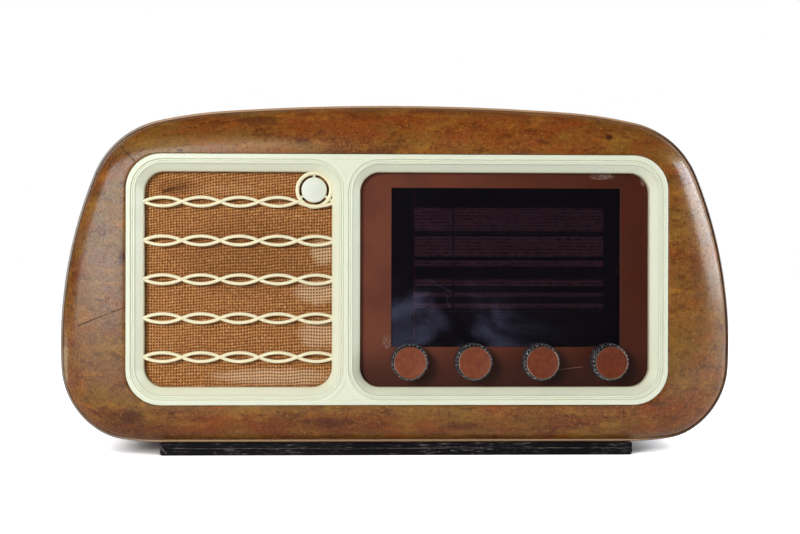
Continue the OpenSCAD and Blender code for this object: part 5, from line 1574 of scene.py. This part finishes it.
bakelite.colour(bakelite.toned(bakelite_swirl, [
    (0.35, shade(26, 18, 15)), (0.55, shade(48, 30, 22)), (0.75, shade(78, 46, 30)),
]))
bakelite.gloss(bakelite.graded(bakelite_swirl, 0.3, 0.7, 0.25, 0.4))
bakelite.relief(bakelite.noise(800, detail=3), 0.00005, 0.4)
clad("valve_bases", bakelite)
paxolin = Finish("paxolin", Roughness=0.45)
paxolin_weave = paxolin.noise(1, paxolin.mapped((900, 900, 3000)), detail=3)
paxolin.colour(paxolin.toned(paxolin_weave, [
    (0.3, shade(104, 60, 30)), (0.55, shade(138, 84, 44)), (0.75, shade(160, 106, 62)),
]))
paxolin.relief(paxolin_weave, 0.0001, 0.5)
clad("valve_sockets", paxolin)
clad("aerial_sockets", paxolin)
clad("band_switch", paxolin)

# Coil cans and reservoir capacitor
# Drawn aluminium, soft and dull, with rubbing marks from handling.
can_metal = metal("can_aluminium", shade(204, 204, 200), shade(160, 160, 156), 0.34, 0.3)
clad("if_cans", can_metal)
clad("filter_capacitor", can_metal)

# Controls behind the chassis
# Two potentiometers in pressed cases and the tuning spindle's turned bush.
clad("volume_potentiometer", plated_steel)
clad("tone_potentiometer", plated_steel)
clad("tuning_bush", brass)

# Loudspeaker
# A black paper cone in a painted pressed basket, with an iron magnet pot.
basket_paint = painted("basket_paint", shade(92, 98, 104), shade(66, 70, 76), 0.5)
clad("speaker_basket", basket_paint)
magnet_iron = painted("magnet_iron", shade(112, 108, 104), shade(74, 70, 66), 0.45)
clad("speaker_magnet", magnet_iron)
cone_paper = Finish("cone_paper", Roughness=0.9, Specular_IOR_Level=0.15)
cone_hub = centre("speaker_cone") * mm
cone_centred = cone_paper.mapped((1, 0, 1), shift=(-cone_hub.x, 0, -cone_hub.z))
cone_out = cone_paper.add("ShaderNodeVectorMath", {0: cone_centred}, operation="LENGTH")
cone_rings = cone_paper.waves(cone_out.outputs["Value"], 6 * mm)
cone_fibres = cone_paper.noise(900, detail=4, rough=0.7)
cone_tone = cone_paper.calc("MULTIPLY_ADD", cone_rings, 0.06, cone_fibres)
cone_paper.colour(cone_paper.toned(cone_tone, [
    (0.3, shade(28, 25, 23)), (0.55, shade(46, 42, 38)), (0.8, shade(70, 63, 56)),
]))
cone_paper.relief(cone_fibres, 0.0002, 0.6)
clad("speaker_cone", cone_paper)
clad("speaker_screws", plated_steel)

# Back cover, battens and screws
# Pressed fibreboard with slots for the warm air, screwed to a wooden frame
# glued inside the wrap. A rubber grommet lines the hole for the mains lead.
fibreboard = Finish("fibreboard", Roughness=0.8, Specular_IOR_Level=0.25)
board_fibres = fibreboard.noise(1, fibreboard.mapped((260, 260, 420)), detail=7, rough=0.75)
board_cloud = fibreboard.noise(14, detail=5)
board_tone = fibreboard.calc("MULTIPLY_ADD", board_fibres, 0.6, fibreboard.times(board_cloud, 0.4))
fibreboard.colour(fibreboard.toned(board_tone, [
    (0.3, shade(96, 62, 36)), (0.48, shade(132, 90, 54)),
    (0.6, shade(154, 110, 70)), (0.75, shade(178, 136, 92)),
]))
fibreboard.relief(board_fibres, 0.0002, 0.6)
clad("back_cover", fibreboard)
clad("back_battens", plain_wood)
clad("back_screws", plated_steel)
rubber = Finish("rubber", Roughness=0.7, Specular_IOR_Level=0.3)
rubber.colour(rubber.mixed(rubber.noise(200, detail=4), shade(26, 25, 24), shade(50, 48, 46)))
rubber.relief(rubber.noise(900, detail=3), 0.0001, 0.5)
clad("mains_grommet", rubber)

low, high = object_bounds()
